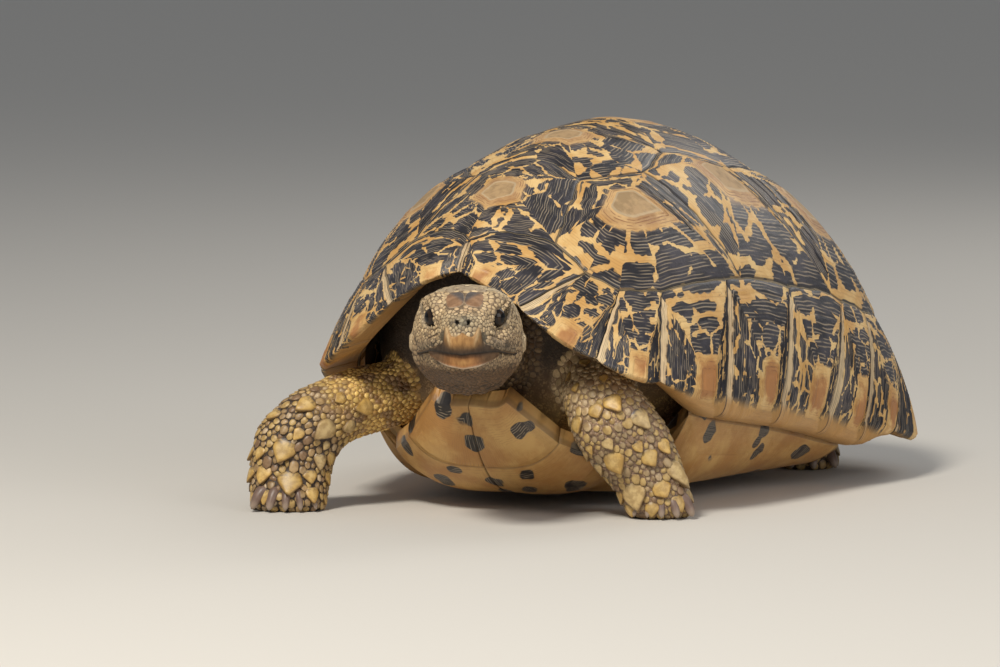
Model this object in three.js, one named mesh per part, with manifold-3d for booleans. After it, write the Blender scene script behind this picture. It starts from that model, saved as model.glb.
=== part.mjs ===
// A walking adult leopard tortoise, life size, as a still museum model.
// Units are millimetres. It faces -Y, its left side is +X and it stands on z = 0.
import * as THREE from "three";
import { mergeVertices } from "three/addons/utils/BufferGeometryUtils.js";
import Module from "manifold-3d";

const wasm = await Module();
wasm.setup();

// Carapace: the plan is a squared oval, the profile a dome, and the rim rises over head and tail.
const HALF_LENGTH = 180;
const HALF_WIDTH = 124.4;
const SHELL_TOP = 197;
const EGG = 0.216; // how much narrower the front is than the back
const PLAN_POWER = { front: 3.66, rear: 2.32 };
const PROFILE_POWER = { front: 1.63, side: 1.81, rear: 2.03 };
const RIM_HEIGHTS = [128, 74, 46, 18, 42]; // every 45 degrees, from the neck round to the tail
const RIM_FLARE = { front: 10, rear: 8.4 };
const NECK_NOTCH = { depth: 7, spread: 0.1 }; // the nick over the neck, mm and radians
const SCUTE_THICK = 8;
const SCUTE_LIFT = { seam: -1.5, slope: 0.8, areola: 1.8 }; // each scute swells from seam to areola
const SEAM_GAP = 0.3;
const DISC_SCALE = 150; // about how many millimetres of shell a length of 1 on its plan covers
const MARGINAL_SIZE = { along: 30, down: 38 };
// The underside of the marginals turns in and up over the legs, and in and down along the bridge.
const LIP = { inward: 20, rise: 5, bridgeInward: 16, bridgeDrop: 12, bulge: 4 };

// Plastron: a plate curved up at the front like a bow, with a bridge on each side.
const PLASTRON_FLOOR = 8;
const PLASTRON_THICK = 7;
const BOW = { start: -115, reach: 62, rise: 84 };
const BRIDGE = { front: -84, rear: 62, half: 84, lift: 22 };

// Head: its axis turns towards the left of the body.
const HEAD_YAW = THREE.MathUtils.degToRad(24);
const HEAD_PLACE = new THREE.Vector3(16.7, -207, 96); // mid-plane at the widest part
const HEAD_WIDEST = 48; // from the tip of the beak
const HEAD_BACK = 78;
const EYE = { radius: 6.3, side: 14.8, back: 21, up: 12 };
const NECK_RADIUS = 21;

const LIMB_SIDES = 12;
const CLAW = { length: 13, radius: 3.4, sides: 5 };
const DEGREE = Math.PI / 180;

// ---- surfaces and solids ----

// Two axes that span the plane that best fits a loop of points.
function planeAxes(loop) {
  const normal = new THREE.Vector3();
  loop.forEach((point, i) => {
    const next = loop[(i + 1) % loop.length];
    normal.add(new THREE.Vector3().crossVectors(point, next));
  });
  normal.normalize();
  const helper = Math.abs(normal.z) < 0.8 ? new THREE.Vector3(0, 0, 1) : new THREE.Vector3(1, 0, 0);
  const first = new THREE.Vector3().crossVectors(helper, normal).normalize();
  return [first, new THREE.Vector3().crossVectors(normal, first)];
}

function capFaces(loop) {
  const [first, second] = planeAxes(loop);
  const flat = loop.map((point) => new THREE.Vector2(point.dot(first), point.dot(second)));
  return THREE.ShapeUtils.triangulateShape(flat, []);
}

function signedVolume(points, faces) {
  const cross = new THREE.Vector3();
  return faces.reduce(
    (sum, [a, b, c]) => sum + points[a].dot(cross.crossVectors(points[b], points[c])) / 6,
    0,
  );
}

// One closed skin over a row of loops that all have the same number of points.
function loft(loops) {
  const count = loops[0].length;
  const points = loops.flat();
  const faces = [];
  for (let row = 0; row + 1 < loops.length; row++) {
    for (let i = 0; i < count; i++) {
      const a = row * count + i;
      const b = row * count + ((i + 1) % count);
      faces.push([a, b, b + count], [a, b + count, a + count]);
    }
  }
  const last = (loops.length - 1) * count;
  capFaces(loops[0]).forEach(([a, b, c]) => faces.push([c, b, a]));
  capFaces(loops.at(-1)).forEach(([a, b, c]) => faces.push([a + last, b + last, c + last]));
  if (signedVolume(points, faces) < 0) {
    faces.forEach((face) => face.reverse());
  }
  const geometry = new THREE.BufferGeometry().setFromPoints(points);
  geometry.setIndex(faces.flat());
  return geometry;
}

function toSolid(geometry) {
  const bare = geometry.clone();
  bare.deleteAttribute("normal");
  bare.deleteAttribute("uv");
  const merged = mergeVertices(bare, 1e-3);
  return new wasm.Manifold(
    new wasm.Mesh({
      numProp: 3,
      vertProperties: new Float32Array(merged.attributes.position.array),
      triVerts: new Uint32Array(merged.index.array),
    }),
  );
}

function toGeometry(solid) {
  const mesh = solid.getMesh();
  const geometry = new THREE.BufferGeometry();
  geometry.setAttribute("position", new THREE.BufferAttribute(mesh.vertProperties, 3));
  geometry.setIndex(new THREE.BufferAttribute(mesh.triVerts, 1));
  return geometry;
}

const join = (first, ...rest) =>
  toGeometry(rest.reduce((solid, other) => solid.add(toSolid(other)), toSolid(first)));
const cut = (first, ...rest) =>
  toGeometry(rest.reduce((solid, other) => solid.subtract(toSolid(other)), toSolid(first)));
const common = (first, second) => toGeometry(toSolid(first).intersect(toSolid(second)));

// ---- the carapace as one surface ----

// Smooth curve through the rim heights, level over the neck and the tail.
function rimHeight(angle) {
  const along = Math.min(Math.abs(angle) / (45 * DEGREE), RIM_HEIGHTS.length - 1.0001);
  const step = Math.floor(along);
  const t = along - step;
  const height = (i) => RIM_HEIGHTS[i < 0 ? -i : i > 4 ? 8 - i : i];
  const [h0, h1, h2, h3] = [-1, 0, 1, 2].map((i) => height(step + i));
  return h1 + (t * (h2 - h0 + t * (2 * h0 - 5 * h1 + 4 * h2 - h3 + t * (3 * (h1 - h2) + h3 - h0)))) / 2;
}

// A point of the shell. left and fore run over a disc, 0 on the top of the back and 1 at the rim;
// lift moves it out from the surface.
function dome(left, fore, lift = 0) {
  const reach = Math.min(Math.hypot(left, fore), 1);
  const angle = Math.atan2(left, fore);
  const sine = Math.sin(angle);
  const cosine = Math.cos(angle);
  const front = cosine > 0;
  const plan = PLAN_POWER.front + (front ? 0 : (PLAN_POWER.rear - PLAN_POWER.front) * cosine ** 2);
  const end = front ? PROFILE_POWER.front : PROFILE_POWER.rear;
  const profile = PROFILE_POWER.side * sine ** 2 + end * cosine ** 2;
  const corner = (Math.abs(sine) ** plan + Math.abs(cosine) ** plan) ** (-1 / plan);
  const out = Math.sin((reach * Math.PI) / 2) ** (2 / profile);
  const up = Math.max(Math.cos((reach * Math.PI) / 2), 0) ** (2 / profile);
  const edge = Math.max((reach - 0.7) / 0.3, 0) ** 2;
  const flare = (front ? RIM_FLARE.front : RIM_FLARE.rear) * Math.abs(cosine) * edge;
  const notch = NECK_NOTCH.depth * Math.exp(-((angle / NECK_NOTCH.spread) ** 2)) * edge;
  const base = rimHeight(angle);
  return new THREE.Vector3(
    sine * corner * ((HALF_WIDTH + lift) * out + flare) * (1 - EGG * cosine * out),
    -cosine * corner * ((HALF_LENGTH + lift) * out + flare - notch),
    base + (SHELL_TOP + lift - base) * up,
  );
}

// 1 along the bridge, falling to 0 where the leg openings begin.
function bridgeShare(angle) {
  const side = Math.abs(angle) / DEGREE;
  return THREE.MathUtils.smoothstep(side, 46, 60) * (1 - THREE.MathUtils.smoothstep(side, 104, 118));
}

// The underside of the marginals, from the rim at along = 0 to its inner edge at along = 1.
function underside(angle, along) {
  const rim = dome(Math.sin(angle), Math.cos(angle));
  const share = bridgeShare(angle);
  const inward = new THREE.Vector3(-rim.x, -0.5 * rim.y, 0).normalize();
  const depth = THREE.MathUtils.lerp(LIP.inward, LIP.bridgeInward, share);
  const drop = THREE.MathUtils.lerp(LIP.rise, -LIP.bridgeDrop, share);
  const bulge = Math.sin(along * Math.PI) * LIP.bulge * share;
  return rim
    .addScaledVector(inward, depth * along - bulge)
    .add(new THREE.Vector3(0, 0, drop * along - bulge));
}

// Meeting points of the seams on the left half, in the disc's own measures.
const SEAM = {
  neck: [0, 0.8],
  v1c1m1: [0.285, 0.61],
  v1v2: [0.193, 0.385],
  c1c2: [0.28, 0.22],
  v2v3: [0.255, 0.1],
  c2c3: [0.32, -0.11],
  v3v4: [0.25, -0.27],
  c3c4: [0.275, -0.4],
  v4v5: [0.16, -0.56],
  c4v5m11: [0.3, -0.72],
  v5m11: [0.17, -0.8],
  tail: [0, -0.83],
  c1m1m2: [0.397, 0.6],
  c1m2m3: [0.483, 0.557],
  c1m3m4: [0.55, 0.463],
  c1m4m5: [0.63, 0.255],
  c1c2m5: [0.645, 0.197],
  c2m5m6: [0.69, 0],
  c2c3m6: [0.665, -0.195],
  c3m6m7: [0.665, -0.235],
  c3m7m8: [0.64, -0.34],
  c3c4m8: [0.59, -0.44],
  c4m8m9: [0.555, -0.51],
  c4m9m10: [0.46, -0.61],
  c4m10m11: [0.36, -0.68],
};

const VERTEBRALS = [
  { centre: 0.57, half: ["neck", "v1c1m1", "v1v2"] },
  { centre: 0.23, half: ["v1v2", "c1c2", "v2v3"] },
  { centre: -0.085, half: ["v2v3", "c2c3", "v3v4"] },
  { centre: -0.41, half: ["v3v4", "c3c4", "v4v5"] },
  { centre: -0.69, half: ["v4v5", "c4v5m11", "v5m11", "tail"] },
];

const COSTALS = [
  {
    centre: [0.35, 0.36],
    loop: ["v1c1m1", "c1m1m2", "c1m2m3", "c1m3m4", "c1m4m5", "c1c2m5", "c1c2", "v1v2"],
  },
  { centre: [0.39, 0], loop: ["c1c2", "c1c2m5", "c2m5m6", "c2c3m6", "c2c3", "v2v3"] },
  { centre: [0.38, -0.27], loop: ["c2c3", "c2c3m6", "c3m6m7", "c3m7m8", "c3c4m8", "c3c4", "v3v4"] },
  {
    centre: [0.34, -0.54],
    loop: ["c3c4", "c3c4m8", "c4m8m9", "c4m9m10", "c4m10m11", "c4v5m11", "v4v5"],
  },
];

// Each marginal runs from its seams above to a stretch of the rim, given in degrees from the neck.
const MARGINALS = [
  { top: ["neck", "v1c1m1", "c1m1m2"], rim: [0, 18.5] },
  { top: ["c1m1m2", "c1m2m3"], rim: [18.5, 36] },
  { top: ["c1m2m3", "c1m3m4"], rim: [36, 48] },
  { top: ["c1m3m4", "c1m4m5"], rim: [48, 62] },
  { top: ["c1m4m5", "c1c2m5", "c2m5m6"], rim: [62, 78] },
  { top: ["c2m5m6", "c2c3m6", "c3m6m7"], rim: [78, 94] },
  { top: ["c3m6m7", "c3m7m8"], rim: [94, 105] },
  { top: ["c3m7m8", "c3c4m8", "c4m8m9"], rim: [105, 115] },
  { top: ["c4m8m9", "c4m9m10"], rim: [115, 129] },
  { top: ["c4m9m10", "c4m10m11"], rim: [129, 145] },
  { top: ["c4m10m11", "c4v5m11", "v5m11"], rim: [145, 163] },
];

const SIDE_STEPS = 3; // each seam between two meeting points is drawn in this many straight lines

const seamPoint = (name, side = 1) => new THREE.Vector2(SEAM[name][0] * side, SEAM[name][1]);

// The points of an outline, each side cut into equal steps.
function stepped(corners, closed) {
  const ends = closed ? corners.length : corners.length - 1;
  const points = [];
  for (let i = 0; i < ends; i++) {
    for (let k = 0; k < SIDE_STEPS; k++) {
      points.push(corners[i].clone().lerp(corners[(i + 1) % corners.length], k / SIDE_STEPS));
    }
  }
  return closed ? points : [...points, corners.at(-1)];
}

// A vertebral or costal scute: a curved plate, highest round the areola where it began to grow.
function scute(corners, centre) {
  const outline = stepped(corners, true);
  const ring = (scale, lift) =>
    outline.map((point) => {
      const size = point.distanceTo(centre) * DISC_SCALE;
      const at = centre.clone().lerp(point, scale * (1 - SEAM_GAP / size));
      return dome(at.x, at.y, lift);
    });
  return loft([
    ring(0.5, -SCUTE_THICK),
    ring(1, -SCUTE_THICK),
    ring(1, SCUTE_LIFT.seam),
    ring(0.7, SCUTE_LIFT.slope),
    ring(0.25, SCUTE_LIFT.areola),
  ]);
}

// A marginal scute: a wedge from its seam down to the rim and round under it.
function marginal(topCorners, rimStart, rimEnd) {
  const top = stepped(topCorners, false);
  const lengths = [0];
  for (let i = 1; i < top.length; i++) {
    lengths.push(lengths[i - 1] + top[i].distanceTo(top[i - 1]));
  }
  const trim = SEAM_GAP / MARGINAL_SIZE.along;
  const sections = top.map((_, i) => {
    const share = THREE.MathUtils.clamp(lengths[i] / lengths.at(-1), trim, 1 - trim);
    const angle = THREE.MathUtils.lerp(rimStart, rimEnd, share);
    const rim = new THREE.Vector2(Math.sin(angle), Math.cos(angle));
    const seam = i === 0 ? top[0].clone().lerp(top[1], trim) : top[i].clone();
    if (i === top.length - 1) seam.lerp(top[i - 1], trim);
    const face = (down, lift) => {
      const at = seam.clone().lerp(rim, Math.max(down, SEAM_GAP / MARGINAL_SIZE.down));
      return dome(at.x, at.y, lift);
    };
    return [
      face(0, SCUTE_LIFT.seam),
      face(0.35, SCUTE_LIFT.slope),
      face(0.75, SCUTE_LIFT.slope),
      underside(angle, 0),
      underside(angle, 0.5),
      underside(angle, 1),
      face(0.6, -SCUTE_THICK),
      face(0.3, -SCUTE_THICK),
      face(0, -SCUTE_THICK),
    ];
  });
  return loft(sections);
}

// ---- the plastron ----

// Height of the plastron's middle line above the ground.
function keelHeight(y) {
  const t = Math.max((BOW.start - y) / BOW.reach, 0);
  return PLASTRON_FLOOR + BOW.rise * (1 - Math.sqrt(Math.max(1 - t * t, 0)));
}

// How squarely the plate turns up at its outer edge: most along the bridge.
const cornerPower = (y) => {
  const { smoothstep } = THREE.MathUtils;
  return 4 + 4 * smoothstep(y, -100, BRIDGE.front) * (1 - smoothstep(y, BRIDGE.rear, 90));
};

const bridgeEdge = (degrees) => {
  const edge = underside(degrees * DEGREE, 1);
  return [edge.x - 0.6, edge.y, edge.z - 1.5];
};

const AXILLA = [59, -104, 22];
const GROIN = [62, 88, 20];

// Front to rear: the middle line from y to y, and the outer edge that each plate reaches.
const PLASTRON = [
  { name: "gular", middle: [-172, -152], edge: [[21, -171, 61], [43, -153, 39]] },
  { name: "humeral", middle: [-152, -104], edge: [[43, -153, 39], [59, -136, 30], AXILLA] },
  { name: "pectoral", middle: [-104, BRIDGE.front], edge: [AXILLA, [72, -98, 27], bridgeEdge(58)] },
  {
    name: "abdominal",
    middle: [BRIDGE.front, BRIDGE.rear],
    edge: [58, 66, 75, 84, 92, 99, 106].map(bridgeEdge),
  },
  { name: "femoral", middle: [BRIDGE.rear, 112], edge: [bridgeEdge(106), [88, 74, 21], GROIN, [56, 112, 19]] },
  { name: "anal", middle: [112, 138], edge: [[56, 112, 19], [48, 132, 20], [30, 150, 22]] },
];

// A plastron plate between its middle line and its outer edge.
function plastronPlate(plate, side, grow = 0) {
  const across = [0, 0.45, 0.75, 0.9, 1];
  const rows = plate.edge.map(([edgeX, edgeY, edgeZ], row) => {
    const along = row / (plate.edge.length - 1);
    const trim = SEAM_GAP / 2 - grow;
    const shift = row === 0 ? trim : row === plate.edge.length - 1 ? -trim : 0;
    const middleY = THREE.MathUtils.lerp(...plate.middle, along);
    const under = across.map((u) => {
      const x = Math.max((edgeX + grow) * u, SEAM_GAP / 2);
      const y = THREE.MathUtils.lerp(middleY, edgeY, u * u) + shift;
      const keel = keelHeight(y);
      const z = keel + (edgeZ - keel) * u ** cornerPower(y) - grow;
      return new THREE.Vector3(x * side, y, z);
    });
    const lean = Math.max((BOW.start - middleY) / BOW.reach, 0) ** 2 * PLASTRON_THICK;
    const thick = new THREE.Vector3(0, lean, PLASTRON_THICK + 2 * grow);
    const over = under.map((point) => point.clone().add(thick));
    return [...under, ...over.reverse()];
  });
  return loft(rows);
}

// ---- limbs, neck and tail ----

// A tube of oval sections along a smooth path. Each station is [x, y, z, half width, half depth];
// the width runs across the direction that the limb faces.
function limb(stations, facing, grow = 0, soleFlat = true) {
  const path = new THREE.CatmullRomCurve3(stations.map(([x, y, z]) => new THREE.Vector3(x, y, z)));
  const radii = new THREE.SplineCurve(stations.map(([, , , w, d]) => new THREE.Vector2(w, d)));
  const front = new THREE.Vector3(Math.sin(facing), -Math.cos(facing), 0);
  const loops = [];
  const steps = stations.length + 1;
  for (let step = 0; step <= steps; step++) {
    const t = step / steps;
    const centre = path.getPoint(t);
    const tangent = path.getTangent(t);
    if (soleFlat) tangent.lerp(new THREE.Vector3(0, 0, -1), t ** 3).normalize();
    const width = new THREE.Vector3().crossVectors(tangent, front).normalize();
    const depth = new THREE.Vector3().crossVectors(width, tangent);
    const half = radii.getPoint(t);
    const loop = [];
    for (let i = 0; i < LIMB_SIDES; i++) {
      const a = (i / LIMB_SIDES) * 2 * Math.PI;
      loop.push(
        centre
          .clone()
          .addScaledVector(width, Math.cos(a) * (half.x + grow))
          .addScaledVector(depth, Math.sin(a) * (half.y + grow)),
      );
    }
    loops.push(loop);
  }
  return loft(loops);
}

// Claws stand in an arc round the front of a foot and point down and out.
function claws(foot, facing, halfWidth, halfDepth, count) {
  return Array.from({ length: count }, (_, i) => {
    const spread = ((i - (count - 1) / 2) / (count - 1)) * 110 * DEGREE;
    const out = new THREE.Vector3(Math.sin(facing + spread), -Math.cos(facing + spread), 0);
    const reach = 1 / Math.hypot(Math.sin(spread) / halfWidth, Math.cos(spread) / halfDepth);
    const base = foot.clone().addScaledVector(out, reach - 5).setZ(8.5);
    const across = new THREE.Vector3(-out.y, out.x, 0);
    const loops = [0, 0.55, 1].map((along) => {
      const radius = CLAW.radius * (1 - 0.75 * along ** 2);
      const middle = base.clone().addScaledVector(out, CLAW.length * along);
      middle.z -= 5.5 * along ** 1.5;
      return Array.from({ length: CLAW.sides }, (_, k) => {
        const a = (k / CLAW.sides) * 2 * Math.PI;
        return middle
          .clone()
          .addScaledVector(across, Math.cos(a) * radius)
          .add(new THREE.Vector3(0, 0, Math.sin(a) * radius));
      });
    });
    return loft(loops);
  });
}

const LEGS = {
  leg_front_right: {
    facing: 20 * DEGREE,
    toes: 5,
    beside: ["humeral"],
    stations: [
      [-42, -104, 62, 15, 15],
      [-69, -142, 57, 18, 16],
      [-88, -164, 49, 19, 17],
      [-100, -172, 34, 23.5, 15],
      [-102, -175, 16, 22, 15],
      [-101, -177, 4, 21.5, 16],
      [-101, -177, 0, 19, 13.5],
    ],
  },
  leg_front_left: {
    facing: 28 * DEGREE,
    toes: 5,
    beside: ["humeral"],
    stations: [
      [42, -104, 72, 14, 15],
      [57, -136, 69, 18, 16],
      [66, -146, 56, 22, 16],
      [77, -139, 38, 23, 15],
      [86, -129, 16, 19, 14],
      [88, -126, 4, 18.5, 15],
      [88, -126, 0, 16, 12.5],
    ],
  },
  leg_hind_right: {
    facing: -14 * DEGREE,
    toes: 4,
    beside: ["femoral", "anal"],
    stations: [
      [-44, 76, 62, 17, 18],
      [-62, 94, 52, 19, 20],
      [-75, 104, 34, 18.5, 19],
      [-80, 107, 14, 18, 18],
      [-81, 107, 4, 18.5, 18.5],
      [-81, 107, 0, 16, 16],
    ],
  },
  leg_hind_left: {
    facing: 14 * DEGREE,
    toes: 4,
    beside: ["femoral", "anal"],
    stations: [
      [40, 80, 62, 17, 18],
      [52, 104, 52, 19, 20],
      [61, 122, 34, 18.5, 19],
      [66, 128, 14, 18, 18],
      [67, 128, 4, 18.5, 18.5],
      [67, 128, 0, 16, 16],
    ],
  },
};

function leg({ stations, facing, toes }) {
  const [x, y, , halfWidth, halfDepth] = stations.at(-2);
  const foot = new THREE.Vector3(x, y, 0);
  return join(limb(stations, facing), ...claws(foot, facing, halfWidth, halfDepth, toes));
}

// A place in the head: left of its mid-plane, back from the tip of the beak, and up.
function inHead(left, back, up) {
  return new THREE.Vector3(left, back - HEAD_WIDEST, up)
    .applyAxisAngle(new THREE.Vector3(0, 0, 1), HEAD_YAW)
    .add(HEAD_PLACE);
}

const NECK_STATIONS = [
  [...inHead(0, HEAD_BACK - 14, -2).toArray(), NECK_RADIUS + 1, NECK_RADIUS + 3],
  [...inHead(0, HEAD_BACK + 6, -4).toArray(), NECK_RADIUS, NECK_RADIUS + 1],
  [0, -158, 88, NECK_RADIUS + 2, NECK_RADIUS + 2],
  [-3, -128, 84, NECK_RADIUS + 3, NECK_RADIUS + 3],
];

const TAIL_STATIONS = [
  [0, 132, 50, 14, 13],
  [0, 158, 38, 12, 11],
  [2, 176, 22, 7, 6.5],
  [4, 184, 10, 2.5, 2.5],
];

// ---- head ----

// Half width, top and bottom of the head, going back from the tip of the beak.
const HEAD_SECTIONS = [
  { back: 0, half: 6.5, top: 12.5, bottom: -8 },
  { back: 3, half: 11, top: 15.5, bottom: -14.5 },
  { back: 10, half: 16, top: 19.5, bottom: -17 },
  { back: 20, half: 21.5, top: 24.5, bottom: -19 },
  { back: 32, half: 25.5, top: 27.8, bottom: -21 },
  { back: HEAD_WIDEST, half: 27.5, top: 28.6, bottom: -24 },
  { back: 60, half: 26, top: 25.5, bottom: -27 },
  { back: 70, half: 23, top: 21, bottom: -28 },
  { back: HEAD_BACK, half: 19, top: 17, bottom: -27 },
];
const HEAD_SIDES = 16;
const HEAD_POWER = 2.4;

function wholeHead() {
  return loft(
    HEAD_SECTIONS.map(({ back, half, top, bottom }) => {
      const middle = (top + bottom) / 2 + 1;
      return Array.from({ length: HEAD_SIDES }, (_, i) => {
        const a = (i / HEAD_SIDES) * 2 * Math.PI;
        const rounded = (v) => Math.sign(v) * Math.abs(v) ** (2 / HEAD_POWER);
        const height = Math.sin(a) > 0 ? top - middle : middle - bottom;
        return inHead(half * rounded(Math.cos(a)), back, middle + height * rounded(Math.sin(a)));
      });
    }),
  );
}

// A block across the head, drawn from the side as [back, up] points.
function headBlock(outline) {
  const wide = 40;
  return loft([-wide, wide].map((left) => outline.map(([back, up]) => inHead(left, back, up))));
}

const MOUTH = [
  [-10, -6.6],
  [34, -6],
  [47, -13],
  [54, -50],
];

function headParts() {
  const whole = wholeHead();
  const jawBlock = headBlock([...MOUTH.map(([b, u]) => [b - SEAM_GAP, u - SEAM_GAP]), [-10.3, -50]]);
  const skullBlock = headBlock([...MOUTH, [120, -50], [120, 50], [-10, 50]]);
  const eyes = [1, -1].map((side) => {
    const place = inHead(EYE.side * side, EYE.back, EYE.up);
    const ball = new THREE.SphereGeometry(EYE.radius, 12, 8);
    const socket = new THREE.SphereGeometry(EYE.radius + SEAM_GAP + 0.15, 12, 8);
    [ball, socket].forEach((shape) => shape.translate(place.x, place.y, place.z));
    return { ball, socket };
  });
  const skull = cut(common(whole, skullBlock), ...eyes.map((eye) => eye.socket));
  return { skull, jaw: common(whole, jawBlock), eyes: eyes.map((eye) => eye.ball) };
}

// ---- trunk: all that fills the shell ----

const TRUNK = { front: 0.72, side: 0.88, rear: 0.78, angles: 20, sink: SCUTE_THICK + 6 };
const POCKET = { front: 66, rear: 52 }; // height of the skin above the leg openings
const LOBE = { half: 50, tip: 24, narrowing: [105, 150] }; // half width of the plastron behind

// Height of the trunk's underside: on the plastron in the middle, higher in the leg openings.
function trunkFloor(x, y) {
  const { smoothstep, lerp } = THREE.MathUtils;
  const lobe = lerp(LOBE.half, LOBE.tip, smoothstep(y, ...LOBE.narrowing));
  const inBridge = y > BRIDGE.front && y < BRIDGE.rear;
  const wide = inBridge ? BRIDGE.half : lobe;
  const onPlate = keelHeight(y - PLASTRON_THICK) + PLASTRON_THICK + 6;
  const pocket = y < 0 ? POCKET.front : POCKET.rear;
  const outside = smoothstep(Math.abs(x), wide - 12, wide + 4);
  const lift = inBridge ? BRIDGE.lift : Math.max(pocket - onPlate, 0);
  return onPlate + lift * outside;
}

function trunk() {
  const outlineReach = (angle) => {
    const end = Math.cos(angle) > 0 ? TRUNK.front : TRUNK.rear;
    return TRUNK.side * Math.sin(angle) ** 2 + end * Math.cos(angle) ** 2;
  };
  const ring = (share, above) =>
    Array.from({ length: TRUNK.angles }, (_, i) => {
      const angle = (i / TRUNK.angles) * 2 * Math.PI;
      const reach = outlineReach(angle) * share;
      const point = dome(Math.sin(angle) * reach, Math.cos(angle) * reach, -TRUNK.sink);
      if (!above) point.z = trunkFloor(point.x, point.y);
      return point;
    });
  const below = [0.3, 0.62, 0.82, 0.93].map((share) => ring(share, false));
  const above = [0.97, 0.75, 0.45, 0.15].map((share) => ring(share, true));
  return loft([...below, ...above]);
}

// ---- colours and the finished group ----

const paint = (color, roughness) => new THREE.MeshStandardMaterial({ color, roughness, metalness: 0 });
const scutePaint = paint(0x8a6a3c, 0.5);
const plastronPaint = paint(0xb98a4e, 0.55);
const skinPaint = paint(0x8d7a5c, 0.85);
const headPaint = paint(0x857460, 0.8);
const eyePaint = paint(0x120d0a, 0.1);

const group = new THREE.Group();

function addPart(name, geometry, material) {
  const mesh = new THREE.Mesh(geometry, material);
  mesh.name = name;
  group.add(mesh);
}

VERTEBRALS.forEach(({ centre, half }, i) => {
  const leftHalf = half.map((name) => seamPoint(name));
  const rightHalf = half
    .filter((name) => SEAM[name][0] > 0)
    .reverse()
    .map((name) => seamPoint(name, -1));
  addPart(`vertebral_${i + 1}`, scute([...leftHalf, ...rightHalf], new THREE.Vector2(0, centre)), scutePaint);
});

for (const [word, side] of [
  ["left", 1],
  ["right", -1],
]) {
  COSTALS.forEach(({ centre, loop }, i) => {
    const middle = new THREE.Vector2(centre[0] * side, centre[1]);
    const corners = loop.map((name) => seamPoint(name, side));
    addPart(`costal_${word}_${i + 1}`, scute(corners, middle), scutePaint);
  });
  MARGINALS.forEach(({ top, rim }, i) => {
    const corners = top.map((name) => seamPoint(name, side));
    const [start, end] = rim.map((degrees) => degrees * DEGREE * side);
    addPart(`marginal_${word}_${i + 1}`, marginal(corners, start, end), scutePaint);
  });
  PLASTRON.forEach((plate) => {
    addPart(`${plate.name}_${word}`, plastronPlate(plate, side), plastronPaint);
  });
}

const supracaudalTop = [seamPoint("v5m11"), seamPoint("tail"), seamPoint("v5m11", -1)];
addPart("supracaudal", marginal(supracaudalTop, 163 * DEGREE, 197 * DEGREE), scutePaint);

const { skull, jaw, eyes } = headParts();
addPart("head", skull, headPaint);
addPart("jaw", jaw, headPaint);
addPart("eye_left", eyes[0], eyePaint);
addPart("eye_right", eyes[1], eyePaint);

addPart("neck", cut(limb(NECK_STATIONS, 0, 0, false), wholeHead()), skinPaint);
addPart("tail", limb(TAIL_STATIONS, Math.PI, 0, false), skinPaint);

// The skin of each leg lies against the plastron beside it.
Object.entries(LEGS).forEach(([name, shape]) => {
  const side = name.endsWith("left") ? 1 : -1;
  const near = PLASTRON.filter((plate) => shape.beside.includes(plate.name));
  const plates = near.map((plate) => plastronPlate(plate, side, 2 * SEAM_GAP));
  addPart(name, cut(leg(shape), ...plates), skinPaint);
});

const openings = [
  limb(NECK_STATIONS, 0, 1.5 * SEAM_GAP, false),
  limb(TAIL_STATIONS, Math.PI, 1.5 * SEAM_GAP, false),
  ...Object.values(LEGS).map(({ stations, facing }) => limb(stations, facing, 1.5 * SEAM_GAP)),
];
addPart("trunk", cut(trunk(), ...openings), skinPaint);

// The origin is the middle of the ground under the whole animal.
const box = new THREE.Box3().setFromObject(group);
const middle = box.getCenter(new THREE.Vector3());
group.position.set(-middle.x, -middle.y, -box.min.z);

export default group;
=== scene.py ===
import math

import bmesh
import bpy
import numpy as np
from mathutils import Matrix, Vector
from mathutils.bvhtree import BVHTree
from mathutils.kdtree import KDTree


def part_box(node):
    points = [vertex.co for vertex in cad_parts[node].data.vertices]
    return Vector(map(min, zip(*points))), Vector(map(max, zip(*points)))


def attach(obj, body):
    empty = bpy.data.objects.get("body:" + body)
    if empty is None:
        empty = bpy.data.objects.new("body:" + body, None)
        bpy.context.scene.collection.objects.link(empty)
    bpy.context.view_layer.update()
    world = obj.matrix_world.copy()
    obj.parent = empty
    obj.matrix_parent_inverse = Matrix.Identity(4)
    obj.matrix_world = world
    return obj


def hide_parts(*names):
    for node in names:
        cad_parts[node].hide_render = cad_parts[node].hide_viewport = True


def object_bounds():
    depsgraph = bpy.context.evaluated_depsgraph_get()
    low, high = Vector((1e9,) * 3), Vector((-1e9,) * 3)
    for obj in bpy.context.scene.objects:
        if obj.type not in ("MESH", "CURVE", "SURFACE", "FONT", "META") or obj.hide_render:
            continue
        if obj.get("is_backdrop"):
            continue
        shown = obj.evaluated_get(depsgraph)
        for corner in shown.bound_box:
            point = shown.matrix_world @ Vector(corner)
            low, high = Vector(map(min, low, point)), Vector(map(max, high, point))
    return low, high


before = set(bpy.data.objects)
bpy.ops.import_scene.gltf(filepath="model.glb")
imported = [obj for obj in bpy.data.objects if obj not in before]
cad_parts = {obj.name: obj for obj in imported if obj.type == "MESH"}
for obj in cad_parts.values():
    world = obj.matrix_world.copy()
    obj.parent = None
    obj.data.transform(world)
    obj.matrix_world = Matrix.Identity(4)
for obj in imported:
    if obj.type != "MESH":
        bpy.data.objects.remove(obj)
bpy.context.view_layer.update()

# ---- Camera, floor and light ----
# A long lens looks at the animal from its front, a little from its left and just above the ground.
# The floor is one pale sheet, and three large soft lamps light it like a studio.
LENS = 0.2312
SENSOR = 0.036
LOOK_AT = Vector((-0.0618, 0.03255, 0.080))
CAMERA_AWAY = 3.5
CAMERA_TURN = math.radians(25)
CAMERA_RISE = math.radians(5)

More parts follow.
